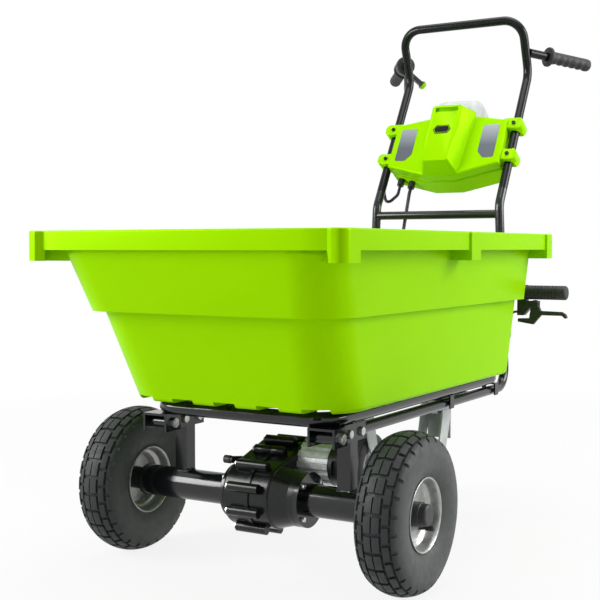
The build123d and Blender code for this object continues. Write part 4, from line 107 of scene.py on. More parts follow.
class Finish:
    """A surface finish whose detail comes from textures on the piece's own coordinates."""

    def __init__(self, name, **sockets):
        self.material = bpy.data.materials.new(name)
        self.material.use_nodes = True
        self.tree = self.material.node_tree
        self.shader = self.tree.nodes["Principled BSDF"]
        for socket, value in sockets.items():
            self.shader.inputs[socket.replace("_", " ")].default_value = value
        self.coords = self.tree.nodes.new("ShaderNodeTexCoord").outputs["Object"]
        self.relief = None

    def add(self, kind, **values):
        """A shader node of a kind, with its settings."""
        node = self.tree.nodes.new("ShaderNode" + kind)
        for key, value in values.items():
            setattr(node, key, value)
        return node

    def place(self, node, stretch=(1, 1, 1), centre=(0, 0, 0)):
        """Feeds a texture with the piece's coordinates, shifted to a centre and stretched."""
        mapping = self.add("Mapping")
        mapping.inputs["Location"].default_value = [-c * s for c, s in zip(centre, stretch)]
        mapping.inputs["Scale"].default_value = stretch
        self.tree.links.new(self.coords, mapping.inputs["Vector"])
        self.tree.links.new(mapping.outputs["Vector"], node.inputs[0])

    def noise(self, scale, detail=3.0, **placing):
        """A cloudy mask."""
        node = self.add("TexNoise")
        node.inputs["Scale"].default_value = scale
        node.inputs["Detail"].default_value = detail
        self.place(node, **placing)
        return node.outputs[0]

    def cells(self, scale, **placing):
        """A mask of small pits, as of a spark-eroded mould."""
        node = self.add("TexVoronoi")
        node.inputs["Scale"].default_value = scale
        self.place(node, **placing)
        return node.outputs["Distance"]

    def rings(self, scale, axis, **placing):
        """A mask of rings round an axis."""
        node = self.add("TexWave", wave_type="RINGS", rings_direction=axis)
        node.inputs["Scale"].default_value = scale
        node.inputs["Distortion"].default_value = 0.6
        self.place(node, **placing)
        return node.outputs["Fac"]

    def rise(self, low, high):
        """0 to 1 between two heights."""
        split = self.add("SeparateXYZ")
        self.tree.links.new(self.coords, split.inputs["Vector"])
        spread = self.add("MapRange")
        spread.inputs["From Min"].default_value = low
        spread.inputs["From Max"].default_value = high
        self.tree.links.new(split.outputs["Z"], spread.inputs["Value"])
        return spread.outputs["Result"]

    def reach(self, centre, near, far, detail, share):
        """0 to 1 between two distances from an axle line, broken up by a share of another mask."""
        length = self.add("VectorMath", operation="LENGTH")
        self.place(length, stretch=(0, 1, 1), centre=centre)
        spread = self.add("MapRange")
        spread.inputs["From Min"].default_value = near
        spread.inputs["From Max"].default_value = far
        self.tree.links.new(length.outputs["Value"], spread.inputs["Value"])
        blend = self.add("Mix")
        blend.inputs["Factor"].default_value = share
        self.tree.links.new(spread.outputs["Result"], blend.inputs["A"])
        self.tree.links.new(detail, blend.inputs["B"])
        return blend.outputs["Result"]

    def colour(self, mask, dark, light, low=0.3, high=0.7):
        """Colours the piece from dark to light, as the mask goes from low to high."""
        ramp = self.add("ValToRGB")
        ramp.color_ramp.elements[0].position = low
        ramp.color_ramp.elements[0].color = dark
        ramp.color_ramp.elements[1].position = high
        ramp.color_ramp.elements[1].color = light
        self.tree.links.new(mask, ramp.inputs["Fac"])
        self.tree.links.new(ramp.outputs["Color"], self.shader.inputs["Base Color"])

    def rough(self, mask, low, high):
        """Spreads the roughness from low to high over the middle of the mask."""
        spread = self.add("MapRange")
        spread.inputs["From Min"].default_value = 0.3
        spread.inputs["From Max"].default_value = 0.7
        spread.inputs["To Min"].default_value = low
        spread.inputs["To Max"].default_value = high
        self.tree.links.new(mask, spread.inputs["Value"])
        self.tree.links.new(spread.outputs["Result"], self.shader.inputs["Roughness"])

    def bump(self, height, depth):
        """Adds relief of a depth in metres, over any that is there."""
        node = self.add("Bump")
        node.inputs["Distance"].default_value = depth
        self.tree.links.new(height, node.inputs["Height"])
        if self.relief:
            self.tree.links.new(self.relief, node.inputs["Normal"])
        self.relief = node.outputs["Normal"]
        self.tree.links.new(self.relief, self.shader.inputs["Normal"])


def lime_moulding():
    """Lime polyethylene: even colour with faint flow marks, satin skin and a fine mould grain."""
    skin = Finish("lime_moulding", Metallic=0.14, Specular_IOR_Level=0.03, Specular_Tint=tone("9BE820"))
    skin.colour(skin.noise(5.0, 3.0), tone("91CF00"), tone("97D601"), 0.2, 0.8)
    skin.rough(skin.noise(9.0, 1.0), 0.285, 0.34)
    skin.bump(skin.noise(500.0, 1.0), 0.00002)
    return skin.material


WALL_LIGHT_R, TREAD_R = 0.103, 0.123


def tyre_rubber():
    """Matt tyre rubber with fine pitting; painted light makes the walls lighter and painted shade makes
    the tread darker.
    """
    skin = Finish("tyre_compound", Specular_IOR_Level=0.35)
    # Painted light and shade: lighter on the walls, darker out on the tread, broken up a little by
    # noise.
    painted_tread_shade = skin.reach(AXLE_CENTRE, WALL_LIGHT_R, TREAD_R, skin.noise(30.0, 5.0), 0.3)
    skin.colour(painted_tread_shade, tone("4B4D4C"), tone("2A2C2D"), 0.1, 0.85)
    skin.rough(skin.noise(90.0), 0.48, 0.68)
    skin.bump(skin.noise(700.0), 0.0002)
    return skin.material


def soft_rubber(name, dark, light):
    """Black rubber of the grips and small wheels."""
    skin = Finish(name)
    skin.colour(skin.noise(60.0, 4.0), tone(dark), tone(light))
    skin.rough(skin.noise(150.0), 0.5, 0.7)
    skin.bump(skin.noise(1400.0), 0.00012)
    return skin.material


def powder_coat(name, dark, light, low, high, peel, gloss=0.5):
    """Smooth powder coat with a slight orange peel."""
    skin = Finish(name, Specular_IOR_Level=gloss)
    skin.colour(skin.noise(40.0, 4.0), tone(dark), tone(light))
    skin.rough(skin.noise(120.0), low, high)
    skin.bump(skin.noise(110.0, 1.0), peel)
    return skin.material


def cast_black():
    """Glossy black paint over a die casting, with a trace of the mould's sand in it."""
    skin = Finish("cast_black", Specular_IOR_Level=0.34)
    skin.colour(skin.noise(50.0, 5.0), tone("0D0E0F"), tone("17181A"))
    skin.rough(skin.noise(200.0), 0.16, 0.26)
    skin.bump(skin.noise(90.0, 1.0), 0.00004)
    return skin.material


def bare_metal(name, dark, light, low, high, grain, centre=None, metal=1.0):
    """Bright or turned metal; with a centre, fine turning rings round the axle there."""
    skin = Finish(name, Metallic=metal)
    skin.colour(skin.noise(90.0, 4.0), tone(dark), tone(light))
    skin.rough(skin.noise(260.0), low, high)
    if centre:
        skin.bump(skin.rings(240.0, "X", centre=centre), grain)
    else:
        skin.bump(skin.noise(800.0), grain)
    return skin.material


def textured_plastic(name, dark, light, low, high, gloss=0.5):
    """Black moulded plastic with a spark-eroded grain."""
    skin = Finish(name, Specular_IOR_Level=gloss)
    skin.colour(skin.noise(80.0, 3.0), tone(dark), tone(light))
    skin.rough(skin.noise(240.0), low, high)
    skin.bump(skin.cells(900.0), 0.00012)
    return skin.material


def frosted_lid():
    """Clear lid, frosted by its moulding grain."""
    skin = Finish("frosted_lid", Transmission_Weight=0.55, IOR=1.46)
    skin.colour(skin.noise(25.0), tone("E4E8E8"), tone("F4F6F6"))
    skin.rough(skin.noise(120.0), 0.32, 0.45)
    skin.bump(skin.noise(900.0), 0.0001)
    return skin.material


finishes = {
    "tyre_rubber": tyre_rubber(),
    "rim_zinc": bare_metal("zinc_rim", "9FA09E", "B9BAB8", 0.30, 0.42, 0.00002, metal=0.75),
    "hub_black": textured_plastic("hub_plastic", "17181A", "222325", 0.35, 0.5),
    "shaft_steel": bare_metal("turned_steel", "8C8D8E", "B9BABB", 0.22, 0.38, 0.00003, AXLE_CENTRE),
    "frame_black": powder_coat("black_powder_coat", "0C0D10", "131518", 0.10, 0.17, 0.00003),
    "gearbox_black": cast_black(),
    "bolt_zinc": bare_metal("bright_zinc", "B4B5B2", "E2E2DD", 0.28, 0.38, 0.00005),
    "motor_aluminium": bare_metal("cast_aluminium", "CFD1D2", "EDEEEE", 0.28, 0.40, 0.00004, metal=0.25),
    "black_plastic": textured_plastic("black_moulding", "151617", "232425", 0.36, 0.52),
    "green_plastic": lime_moulding(),
    "clear_plastic": frosted_lid(),
    "caster_grey": powder_coat("grey_coat", "A9ACAD", "BFC2C3", 0.32, 0.45, 0.00003),
    "caster_rubber": soft_rubber("caster_rubber_black", "1C1D1E", "2C2D2E"),
    "grip_rubber": soft_rubber("grip_rubber_black", "141515", "222323"),
    "cable_black": textured_plastic("cable_sheath", "121314", "1E1F20", 0.34, 0.48),
}
for node in nodes.values():
    for held in node.material_slots:
        held.material = finishes[held.material.name]

# Pieces whose finish differs from that of their slot
own_finishes = {
    # Box screws in a dark steel tone, darker than the zinc of the other bolts.
    "box_screws": bare_metal("dark_screw_steel", "1E1F20", "3A3B3C", 0.3, 0.45, 0.00004),
    "caster_beam": powder_coat("beam_powder_coat", "0F1013", "17191C", 0.38, 0.48, 0.00004),
    "handle_loop": powder_coat("handle_powder_coat", "0C0D10", "131518", 0.10, 0.17, 0.00003, 0.22),
}
for node, finish in own_finishes.items():
    for held in nodes[node].material_slots:
        held.material = finish

MERGE, SEAM, FLAT = 0.00002, 0.00001, radians(0.3)


def piece(name, mesh_work, finish, body, smooth=35.0):
    """Makes a finished piece that rides on a body."""
    mesh = bpy.data.meshes.new(name)
    mesh_work.to_mesh(mesh)
    mesh_work.free()
    mesh.materials.append(finish)
    mesh.shade_smooth()
    mesh.set_sharp_from_angle(angle=radians(smooth))
    made = bpy.data.objects.new(name, mesh)
    bpy.context.scene.collection.objects.link(made)
    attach(made, body)
    return made


def joined(node):
    """A node's mesh as one skin, its flat faces in one piece each."""
    work = bmesh.new()
    work.from_mesh(nodes[node].data)
    bmesh.ops.remove_doubles(work, verts=work.verts, dist=MERGE)
    bmesh.ops.dissolve_limit(
        work, angle_limit=FLAT, verts=work.verts, edges=work.edges, use_dissolve_boundaries=False,
    )
    return work


def round_off(work, edge, segments=2, angle=32.0, wanted=None, clamp=True):
    """Rounds the sharp edges of a mesh, or those of them that are wanted."""
    limit = radians(angle)
    sharp = [e for e in work.edges if len(e.link_faces) == 2 and e.calc_face_angle() > limit]
    if wanted:
        sharp = [e for e in sharp if wanted(e)]
    bmesh.ops.bevel(
        work, geom=sharp, offset=edge, offset_type="OFFSET", segments=segments, profile=0.5,
        affect="EDGES", clamp_overlap=clamp, material=-1,
    )


def softened(node, name, slot, edge, shape=None):
    """A copy of a CAD node whose sharp edges are rounded as the real moulding's are."""
    work = joined(node)
    if shape:
        shape(work)
    round_off(work, edge)
    made = piece(name, work, finishes[slot], carrier[node], smooth=60.0)
    made.modifiers.new("flat_faces", "WEIGHTED_NORMAL")
    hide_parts(node)


# Tub: the front of its rim beside the corner blocks, and its edges
TUB_EDGE, RIM_EDGE = 0.0018, 0.003
NEAR = 0.0005
RIM_FACE, BLOCK_FACE, SKIRT_DEPTH = -0.6441, -0.6481, 0.012
CREASE_X, BLOCK_X, FALL_BACK, FLANK_SLOPE = 0.227, 0.268, 0.005, 0.011
FALL_CUTS = 5


def fall_back(work):
    """Lets the rim's front fall back from a crease to each corner block, whose flank slopes."""
    for side in (1, -1):
        for cut in range(FALL_CUTS):
            front = [f for f in work.faces if f.calc_center_median().y < RIM_FACE + SKIRT_DEPTH]
            edges = dict.fromkeys(e for f in front for e in f.edges)
            verts = dict.fromkeys(v for f in front for v in f.verts)
            across = side * (CREASE_X + (BLOCK_X - CREASE_X) * cut / FALL_CUTS)
            bmesh.ops.bisect_plane(
                work, geom=[*verts, *edges, *front], plane_co=(across, 0, 0), plane_no=(1, 0, 0),
            )
    for v in work.verts:
        share = (abs(v.co.x) - CREASE_X) / (BLOCK_X - CREASE_X)
        if -NEAR < v.co.y - RIM_FACE < SKIRT_DEPTH and 0 < share < 1.01:
            v.co.y += FALL_BACK * share ** 2
        if abs(abs(v.co.x) - BLOCK_X) < NEAR and abs(v.co.y - BLOCK_FACE) < NEAR:
            v.co.x += FLANK_SLOPE if v.co.x > 0 else -FLANK_SLOPE


def rim_edges(work):
    """Shapes the rim's front, and gives the top edge all round a fuller rounding than the rest."""
    fall_back(work)
    top = max(v.co.z for v in work.verts) - NEAR
    round_off(work, RIM_EDGE, 3, wanted=lambda e: min(v.co.z for v in e.verts) > top, clamp=False)


softened("tub", "tub_moulding", "green_plastic", TUB_EDGE, shape=rim_edges)

# Control box, gearbox, clamp and lever
BOX_EDGE, HUMP_EDGE, LONG_EDGE = 0.0009, 0.004, 0.02
CASE_EDGE, LEVER_EDGE = 0.0007, 0.0008


def hump_edges(work):
    """Gives the long edges of the control box's face a fuller rounding than its lugs and holes."""
    round_off(work, HUMP_EDGE, 3, angle=18.0, wanted=lambda e: e.calc_length() > LONG_EDGE, clamp=False)


softened("box_front", "box_front_moulding", "green_plastic", BOX_EDGE, shape=hump_edges)
softened("box_rear", "box_rear_moulding", "green_plastic", BOX_EDGE, shape=hump_edges)
softened("gearbox_case_left", "case_casting_left", "gearbox_black", CASE_EDGE)
softened("gearbox_case_right", "case_casting_right", "gearbox_black", CASE_EDGE)
softened("lever_clamp", "clamp_moulding", "black_plastic", LEVER_EDGE)
softened("release_lever", "lever_moulding", "black_plastic", LEVER_EDGE)

# Throttle cable and crossbar, a little thicker all round
TUBE_EDGE, SHEATH_GROWTH, CROSSBAR_GROWTH = 0.0004, 0.0011, 0.002


def fuller(growth):
    """A shaper that brings a tube or cable to the thickness that the photograph shows."""
    def swell(work):
        work.normal_update()
        for v, outwards in [(v, v.normal * growth) for v in work.verts]:
            v.co += outwards

    return swell


softened("throttle_cable", "throttle_sheath", "cable_black", TUBE_EDGE, shape=fuller(SHEATH_GROWTH))
softened("handle_crossbar", "crossbar_tube", "frame_black", TUBE_EDGE, shape=fuller(CROSSBAR_GROWTH))

# One more bolt boss on the gearbox's slope, between the drum's and the motor's, with its bolt
CASE_SPLIT = 0.003
BOSS_RIGHT, BOSS_LEFT, BOSS_R, BOSS_EDGE, BOSS_SIDES = 0.034, 0.026, 0.0085, 0.0012, 40
HEAD_HEIGHT, HEAD_R, HEAD_EDGE, HEAD_SIDES = 0.005, 0.0045, 0.0004, 6
DRUM_BOSS, DRUM_BOSS_ANGLE = 0.062, radians(118)
MOTOR_BOSS, MOTOR_BOSS_ANGLE = 0.038, radians(115)
SLOPE_SHARE = 0.6


def ray(distance, angle):
    """A step away from an axle, at an angle up from +Y."""
    return distance * Vector((0.0, cos(angle), sin(angle)))


def bar(start, end, radius, segments, edge):
    """A round or six-sided bar between two points, its rims rounded."""
    work = bmesh.new()
    way = end - start
    stand = Matrix.Translation((start + end) / 2) @ way.to_track_quat("Z", "Y").to_matrix().to_4x4()
    bmesh.ops.create_cone(
        work, cap_ends=True, segments=segments, radius1=radius, radius2=radius,
        depth=way.length, matrix=stand,
    )
    round_off(work, edge, wanted=lambda e: max(len(f.verts) for f in e.link_faces) > 4)
    return work


joints = {joint["name"]: joint for joint in frame["record"]["behaviour"]["joints"]}
drum_boss = Vector((CASE_SPLIT, AXLE_Y, WHEEL_R)) + ray(DRUM_BOSS, DRUM_BOSS_ANGLE)
motor_boss = Vector((CASE_SPLIT, *joints["rotor_spin"]["pos_m"][1:])) + ray(MOTOR_BOSS, MOTOR_BOSS_ANGLE)
slope_boss = drum_boss.lerp(motor_boss, SLOPE_SHARE)
left_end = slope_boss + Vector((BOSS_LEFT, 0.0, 0.0))
right_end = slope_boss - Vector((BOSS_RIGHT, 0.0, 0.0))
head_end = right_end - Vector((HEAD_HEIGHT, 0.0, 0.0))
for name, boss in (
    ("slope_boss_left", bar(slope_boss, left_end, BOSS_R, BOSS_SIDES, BOSS_EDGE)),
    ("slope_boss_right", bar(slope_boss, right_end, BOSS_R, BOSS_SIDES, BOSS_EDGE)),
):
    piece(name, boss, finishes["gearbox_black"], "chassis")
head = bar(right_end, head_end, HEAD_R, HEAD_SIDES, HEAD_EDGE)
piece("slope_bolt", head, finishes["bolt_zinc"], "chassis")

# Control box face: its own axes run across, up the slope and out of the face
BOX_FRAME = Matrix((
    (1.0, 0.0, 0.0, 0.0),
    (0.0, 0.5046, -0.8635, 0.3369),
    (0.0, 0.8635, 0.5046, 0.652),
    (0.0, 0.0, 0.0, 1.0),
))
WING_FACE, HUMP_FACE, SUNK = 0.026, 0.064, 0.0003


def face_plate(name, outline, face, thick, corner, finish):
    """A thin plate with rounded corners on a face of the control box, its foot just sunk in."""
    work = bmesh.new()
    corners = [work.verts.new((x, up, face - SUNK)) for x, up in outline]
    work.faces.new(corners)
    bmesh.ops.bevel(
        work, geom=corners, offset=corner, offset_type="OFFSET", segments=4, profile=0.5,
        affect="VERTICES", clamp_overlap=True, material=-1,
    )
    raised = bmesh.ops.extrude_face_region(work, geom=work.faces[:])["geom"]
    top = [v for v in raised if isinstance(v, bmesh.types.BMVert)]
    bmesh.ops.translate(work, verts=top, vec=(0, 0, thick))
    bmesh.ops.recalc_face_normals(work, faces=work.faces)
    bmesh.ops.transform(work, matrix=BOX_FRAME, verts=work.verts)
    piece(name, work, finish, "chassis")


LABEL = [(0.082, 0.199), (0.1215, 0.199), (0.1215, 0.111), (0.096, 0.1095), (0.0815, 0.1276)]
LABEL_THICK, LABEL_CORNER = 0.0008, 0.004
LABEL_SHADE_LOW, LABEL_SHADE_HIGH = 0.79, 0.86


def brushed_label_painted_shade():
    """Silver film with painted shade, dark below and light above, and a fine brushed grain along it."""
    skin = Finish("brushed_label_painted_shade", Metallic=0.55)
    skin.rough(skin.noise(60.0, 2.0, stretch=(1.0, 30.0, 30.0)), 0.30, 0.42)
    # Painted shade: the label's colour goes from dark at its lower edge to light at its upper edge.
    skin.colour(skin.rise(LABEL_SHADE_LOW, LABEL_SHADE_HIGH), tone("565C64"), tone("A6ABB1"), 0.0, 1.0)
    skin.bump(skin.noise(220.0, 2.0, stretch=(0.4, 8.0, 8.0)), 0.00003)
    return skin.material


label_film = brushed_label_painted_shade()
for side, hand in HANDS:
    outline = [(side * x, up) for x, up in LABEL]
    face_plate(
        "label_" + hand, outline, WING_FACE, LABEL_THICK, LABEL_CORNER, label_film,
    )

BADGE_UP, BADGE_CORNER = 0.166, 0.001


def hexagon(half, rise, slant):
    """The corners of a plate of the badge, on the middle of the hump."""
    return [
        (-half, BADGE_UP), (-half + slant, BADGE_UP + rise), (half - slant, BADGE_UP + rise),
        (half, BADGE_UP), (half - slant, BADGE_UP - rise), (-half + slant, BADGE_UP - rise),
    ]


badge_black = textured_plastic("badge_black", "08090A", "101112", 0.32, 0.42, 0.12)
for name, half, rise, slant, thick, finish, slot in (
    ("badge", 0.0215, 0.0112, 0.0065, 0.0010, badge_black, "black_plastic"),
    ("badge_line", 0.0195, 0.0094, 0.0055, 0.0012, finishes["green_plastic"], "green_plastic"),
    ("badge_field", 0.0185, 0.0084, 0.0051, 0.0014, badge_black, "black_plastic"),
):
    face_plate(name, hexagon(half, rise, slant), HUMP_FACE, thick, BADGE_CORNER, finish)


def turned(profile, place, steps):
    """A mesh turned about a placed X axis, from points of reach along it and radius in millimetres."""
    work = bmesh.new()
    points = [work.verts.new((x / 1000, 0.0, r / 1000)) for x, r in profile]
    line = [work.edges.new(pair) for pair in zip(points, points[1:])]
    if profile[0][1]:
        line.append(work.edges.new((points[-1], points[0])))
    bmesh.ops.spin(
        work, geom=points + line, cent=(0, 0, 0), axis=(1, 0, 0), angle=2 * pi, steps=steps,
        use_merge=True,
    )
    bmesh.ops.remove_doubles(work, verts=work.verts, dist=SEAM)
    bmesh.ops.transform(work, matrix=place, verts=work.verts)
    bmesh.ops.recalc_face_normals(work, faces=work.faces)
    return work


# Pressed wheel: rolled lips, bead seats, a drop centre and the disc, then its hub and valve
LIP = [(31.0, 60.6), (32.2, 60.4), (32.6, 59.5), (32.0, 58.2), (30.2, 57.0), (26.5, 56.0), (21.0, 55.2)]
SEAT = [(15.5, 54.6), (13.2, 53.2), (11.8, 50.4), (10.8, 48.2), (9.4, 47.0)]
DISC = [(8.5, 45.6), (8.5, 20.0), (6.0, 20.0), (6.0, 45.6), (4.0, 46.6)]
BACK = [(9.0, 49.6), (11.0, 53.2), (13.5, 56.2), (21.0, 57.4), (26.5, 58.2), (29.4, 59.4)]
RIM_SHEET = (
    LIP + SEAT + DISC + [(-x, r) for x, r in reversed(SEAT)] + [(-x, r) for x, r in reversed(LIP)]
    + [(-x, r) for x, r in reversed(BACK)] + BACK
)
HUB = [(-22.0, 11.0), (-22.0, 19.0), (-21.0, 20.0), (25.0, 20.0), (26.0, 19.0), (26.0, 11.0)]
VALVE = [
    (0.0, 0.0), (0.0, 4.6), (6.0, 3.6), (10.5, 3.0), (10.5, 4.2),
    (11.5, 4.6), (24.0, 4.4), (25.5, 3.4), (25.5, 0.0),
]
VALVE_X, VALVE_BEHIND, VALVE_BELOW = 0.2855, 0.027, 0.0275
RIM_STEPS, HUB_STEPS, VALVE_STEPS = 72, 48, 20
TYRE_EDGE = 0.0009
BEAD_FROM, BEAD_TO, BEAD_SEAT = 0.052, 0.0634, 0.0608


def seat_beads(work):
    """Draws the tyre's beads out to the rim's lips."""
    for v in work.verts:
        radius = hypot(v.co.y - AXLE_Y, v.co.z - WHEEL_R)
        if radius < BEAD_TO:
            share = (radius - BEAD_FROM) / (BEAD_TO - BEAD_FROM)
            grow = (BEAD_SEAT + share * (BEAD_TO - BEAD_SEAT)) / radius
            v.co.y = AXLE_Y + grow * (v.co.y - AXLE_Y)
            v.co.z = WHEEL_R + grow * (v.co.z - WHEEL_R)


for side, hand in HANDS:
    wheel = "wheel_" + hand
    outwards = Matrix.Diagonal((side, 1.0, 1.0, 1.0))
    middle = Matrix.Translation((side * WHEEL_X, AXLE_Y, WHEEL_R)) @ outwards
    foot = (side * VALVE_X, AXLE_Y + VALVE_BEHIND, WHEEL_R - VALVE_BELOW)
    sheet = turned(RIM_SHEET, middle, RIM_STEPS)
    rim = piece("rim_sheet_" + hand, sheet, finishes["rim_zinc"], wheel)
    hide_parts("rim_" + hand)
    barrel = turned(HUB, middle, HUB_STEPS)
    piece("hub_barrel_" + hand, barrel, finishes["hub_black"], wheel)
    valve = turned(VALVE, Matrix.Translation(foot) @ outwards, VALVE_STEPS)
    piece("valve_" + hand, valve, finishes["hub_black"], wheel)
    softened("tyre_" + hand, "tyre_tread_" + hand, "tyre_rubber", TYRE_EDGE, shape=seat_beads)

# Grips on the handlebars: a flange, then finger bumps on the underside
BAR_FOOT = Vector((0.150, 0.49835, 1.008))
BAR_WAY = Vector((0.5824, 0.8047, -0.1153))
BUMP_FROM, BUMP_TO, BUMP_PITCH, BUMP_DEPTH = 0.078, 0.166, 0.0176, 0.0022
GRIP_SKIN, GRIP_STEPS = 0.014, 40
GRIP = [
    (60.0, 10.2), (60.0, 21.4), (61.2, 22.5), (65.2, 22.5), (66.6, 21.4), (68.0, 16.4), (71.0, 14.6),
    *((74.0 + 2.2 * i, 14.5) for i in range(44)),
    (172.5, 14.2), (176.0, 12.8), (178.0, 10.4), (178.4, 8.0), (178.4, 0.0), (173.6, 0.0), (173.6, 10.2),
]


def finger_bumps(work):
    """Hollows between the fingers, deepest along the underside."""
    for v in work.verts:
        along = v.co.x
        radius = hypot(v.co.y, v.co.z)
        if BUMP_FROM < along < BUMP_TO and radius > GRIP_SKIN:
            hollow = 0.5 - 0.5 * cos(2 * pi * (along - BUMP_FROM) / BUMP_PITCH)
            under = 0.5 - 0.5 * v.co.z / radius
            v.co.z -= v.co.z * BUMP_DEPTH * hollow * under / radius
            v.co.y -= v.co.y * BUMP_DEPTH * hollow * under / radius


for side, hand in HANDS:
    work = turned(GRIP, Matrix.Identity(4), GRIP_STEPS)
    finger_bumps(work)
    way = Vector((side * BAR_WAY.x, BAR_WAY.y, BAR_WAY.z))
    foot = Vector((side * BAR_FOOT.x, BAR_FOOT.y, BAR_FOOT.z))
    stand = Matrix.Translation(foot) @ way.to_track_quat("X", "Z").to_matrix().to_4x4()
    bmesh.ops.transform(work, matrix=stand, verts=work.verts)
    node = "grip_" + hand
    grip = piece("hand_" + node, work, finishes["grip_rubber"], carrier[node])
    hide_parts(node)

# Thumb lever of the throttle: a black arm with a lime tip
THUMB_WAY = Vector((0.6488, 0.3748, -0.6622))
TIP_REACH = 0.0615
TIP_FROM = Vector((-BAR_FOOT.x, BAR_FOOT.y, BAR_FOOT.z)) + TIP_REACH * THUMB_WAY


def side_of(node, place, way, beyond):
    """A node's mesh on one side of a plane, closed there and with its edges rounded."""
    work = joined(node)
    bmesh.ops.bisect_plane(
        work, geom=work.verts[:] + work.edges[:] + work.faces[:], plane_co=place, plane_no=way,
        clear_inner=beyond, clear_outer=not beyond,
    )
    bmesh.ops.holes_fill(work, edges=[e for e in work.edges if e.is_boundary], sides=0)
    round_off(work, LEVER_EDGE)
    return work


for name, slot, beyond in (
    ("throttle_arm", "black_plastic", False),
    ("throttle_tip", "green_plastic", True),
):
    work = side_of("throttle_lever", TIP_FROM, THUMB_WAY, beyond)
    made = piece(name, work, finishes[slot], carrier["throttle_lever"])
    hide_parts("throttle_lever")

# Raised diamonds on the caster tyres, in staggered rows round the tread
DIAMOND_ROWS, DIAMOND_COUNT, ROW_PITCH = 5, 58, 0.0048
DIAMOND_FOOT, DIAMOND_TOP, DIAMOND_HEIGHT, DIAMOND_SUNK = 0.0040, 0.0030, 0.0014, 0.0003
TREAD_CROWN = 0.0298
for _, hand in HANDS:
    node = "caster_tyre_" + hand
    low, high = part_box(node)
    centre = (Vector(low) + Vector(high)) / 2
    radius = (high[2] - low[2]) / 2
    work = bmesh.new()
    for row in range(DIAMOND_ROWS):
        across = (row - (DIAMOND_ROWS - 1) / 2) * ROW_PITCH
        for step in range(DIAMOND_COUNT):
            turn = Matrix.Rotation(2 * pi * (step + row / 2) / DIAMOND_COUNT, 4, "X")
            out = radius - across ** 2 / (2 * TREAD_CROWN) - DIAMOND_SUNK
            bmesh.ops.create_cone(
                work, cap_ends=True, segments=4, radius1=DIAMOND_FOOT, radius2=DIAMOND_TOP,
                depth=DIAMOND_HEIGHT,
                matrix=Matrix.Translation(centre) @ turn @ Matrix.Translation((across, 0.0, out)),
            )
    piece("diamonds_" + hand, work, finishes["caster_rubber"], carrier[node])

# Weld at the feet of the posts, round a square foot on the axle tube
POST_X, POST_BEHIND, POST_HALF, TUBE_R = 0.166, 0.0005, 0.0125, 0.0275
BEAD_R, BEAD_COUNT = 0.0024, 9


def weld_metal():
    """Weld metal, dark grey with brighter patches at random."""
    skin = Finish("weld_metal", Metallic=0.7)
    skin.colour(skin.noise(300.0, 2.0), tone("1C1E20"), tone("8C9094"), 0.45, 0.72)
    skin.rough(skin.noise(400.0), 0.25, 0.4)
    skin.bump(skin.noise(900.0), 0.0002)
    return skin.material


def post_weld(side, hand):
    """Ripples of weld where the post's foot sits on the axle tube."""
    work = bmesh.new()
    run = [-1 + 2 * i / BEAD_COUNT for i in range(BEAD_COUNT + 1)]
    ends = (-1, 1)
    edge = [(u, end) for end in ends for u in run] + [(end, u) for end in ends for u in run[1:-1]]
    for across, along in edge:
        x = side * POST_X + across * POST_HALF
        y = along * POST_HALF
        z = WHEEL_R + (TUBE_R ** 2 - y ** 2) ** 0.5
        spot = Matrix.Translation((x, AXLE_Y + POST_BEHIND + y, z))
        bmesh.ops.create_icosphere(work, subdivisions=1, radius=BEAD_R, matrix=spot)
    piece("post_weld_" + hand, work, weld_finish, "chassis", smooth=180.0)


weld_finish = weld_metal()
for side, hand in HANDS:
    post_weld(side, hand)

# Studio: a pale floor that fades to white, and soft light from both sides and above
WHITE = (1.0, 1.0, 1.0, 1.0)
FLOOR_GREY = (0.65, 0.65, 0.65, 1.0)
FLOOR_HALF = 14.0
FADE_FROM, FADE_TO, NEAR_WHITE = 0.9, 2.4, 0.86
AMBIENT = 0.35


def studio_floor():
    """Matt grey that takes shadows, and shows nearly white near the part and white farther off."""
    surface = bpy.data.materials.new("studio_floor")
    surface.use_nodes = True
    tree = surface.node_tree
    tree.nodes.clear()
    out = tree.nodes.new("ShaderNodeOutputMaterial")
    matt = tree.nodes.new("ShaderNodeBsdfDiffuse")
    matt.inputs["Color"].default_value = FLOOR_GREY
    white = tree.nodes.new("ShaderNodeEmission")
    white.inputs["Color"].default_value = WHITE
    white.inputs["Strength"].default_value = 1.0
    coords = tree.nodes.new("ShaderNodeTexCoord")
    reach = tree.nodes.new("ShaderNodeVectorMath")
    reach.operation = "LENGTH"
    fade = tree.nodes.new("ShaderNodeMapRange")
    fade.inputs["From Min"].default_value = FADE_FROM
    fade.inputs["From Max"].default_value = FADE_TO
    fade.inputs["To Min"].default_value = NEAR_WHITE
    fade.inputs["To Max"].default_value = 1.0
    seen = seen_rays(tree)
    share = tree.nodes.new("ShaderNodeMath")
    share.operation = "MULTIPLY"
    mix = tree.nodes.new("ShaderNodeMixShader")
    links = tree.links
    links.new(coords.outputs["Object"], reach.inputs[0])
    links.new(reach.outputs["Value"], fade.inputs["Value"])
    links.new(fade.outputs["Result"], share.inputs[0])
    links.new(seen, share.inputs[1])
    links.new(share.outputs["Value"], mix.inputs["Fac"])
    links.new(matt.outputs["BSDF"], mix.inputs[1])
    links.new(white.outputs["Emission"], mix.inputs[2])
    links.new(mix.outputs["Shader"], out.inputs["Surface"])
    return surface


def seen_rays(tree):
    """1 for the rays that show the background: straight on, mirrored or through clear plastic."""
    path = tree.nodes.new("ShaderNodeLightPath")
    total = path.outputs["Is Camera Ray"]
    for kind in ("Is Glossy Ray", "Is Transmission Ray"):
        join = tree.nodes.new("ShaderNodeMath")
        join.operation = "MAXIMUM"
        tree.links.new(total, join.inputs[0])
        tree.links.new(path.outputs[kind], join.inputs[1])
        total = join.outputs["Value"]
    return total


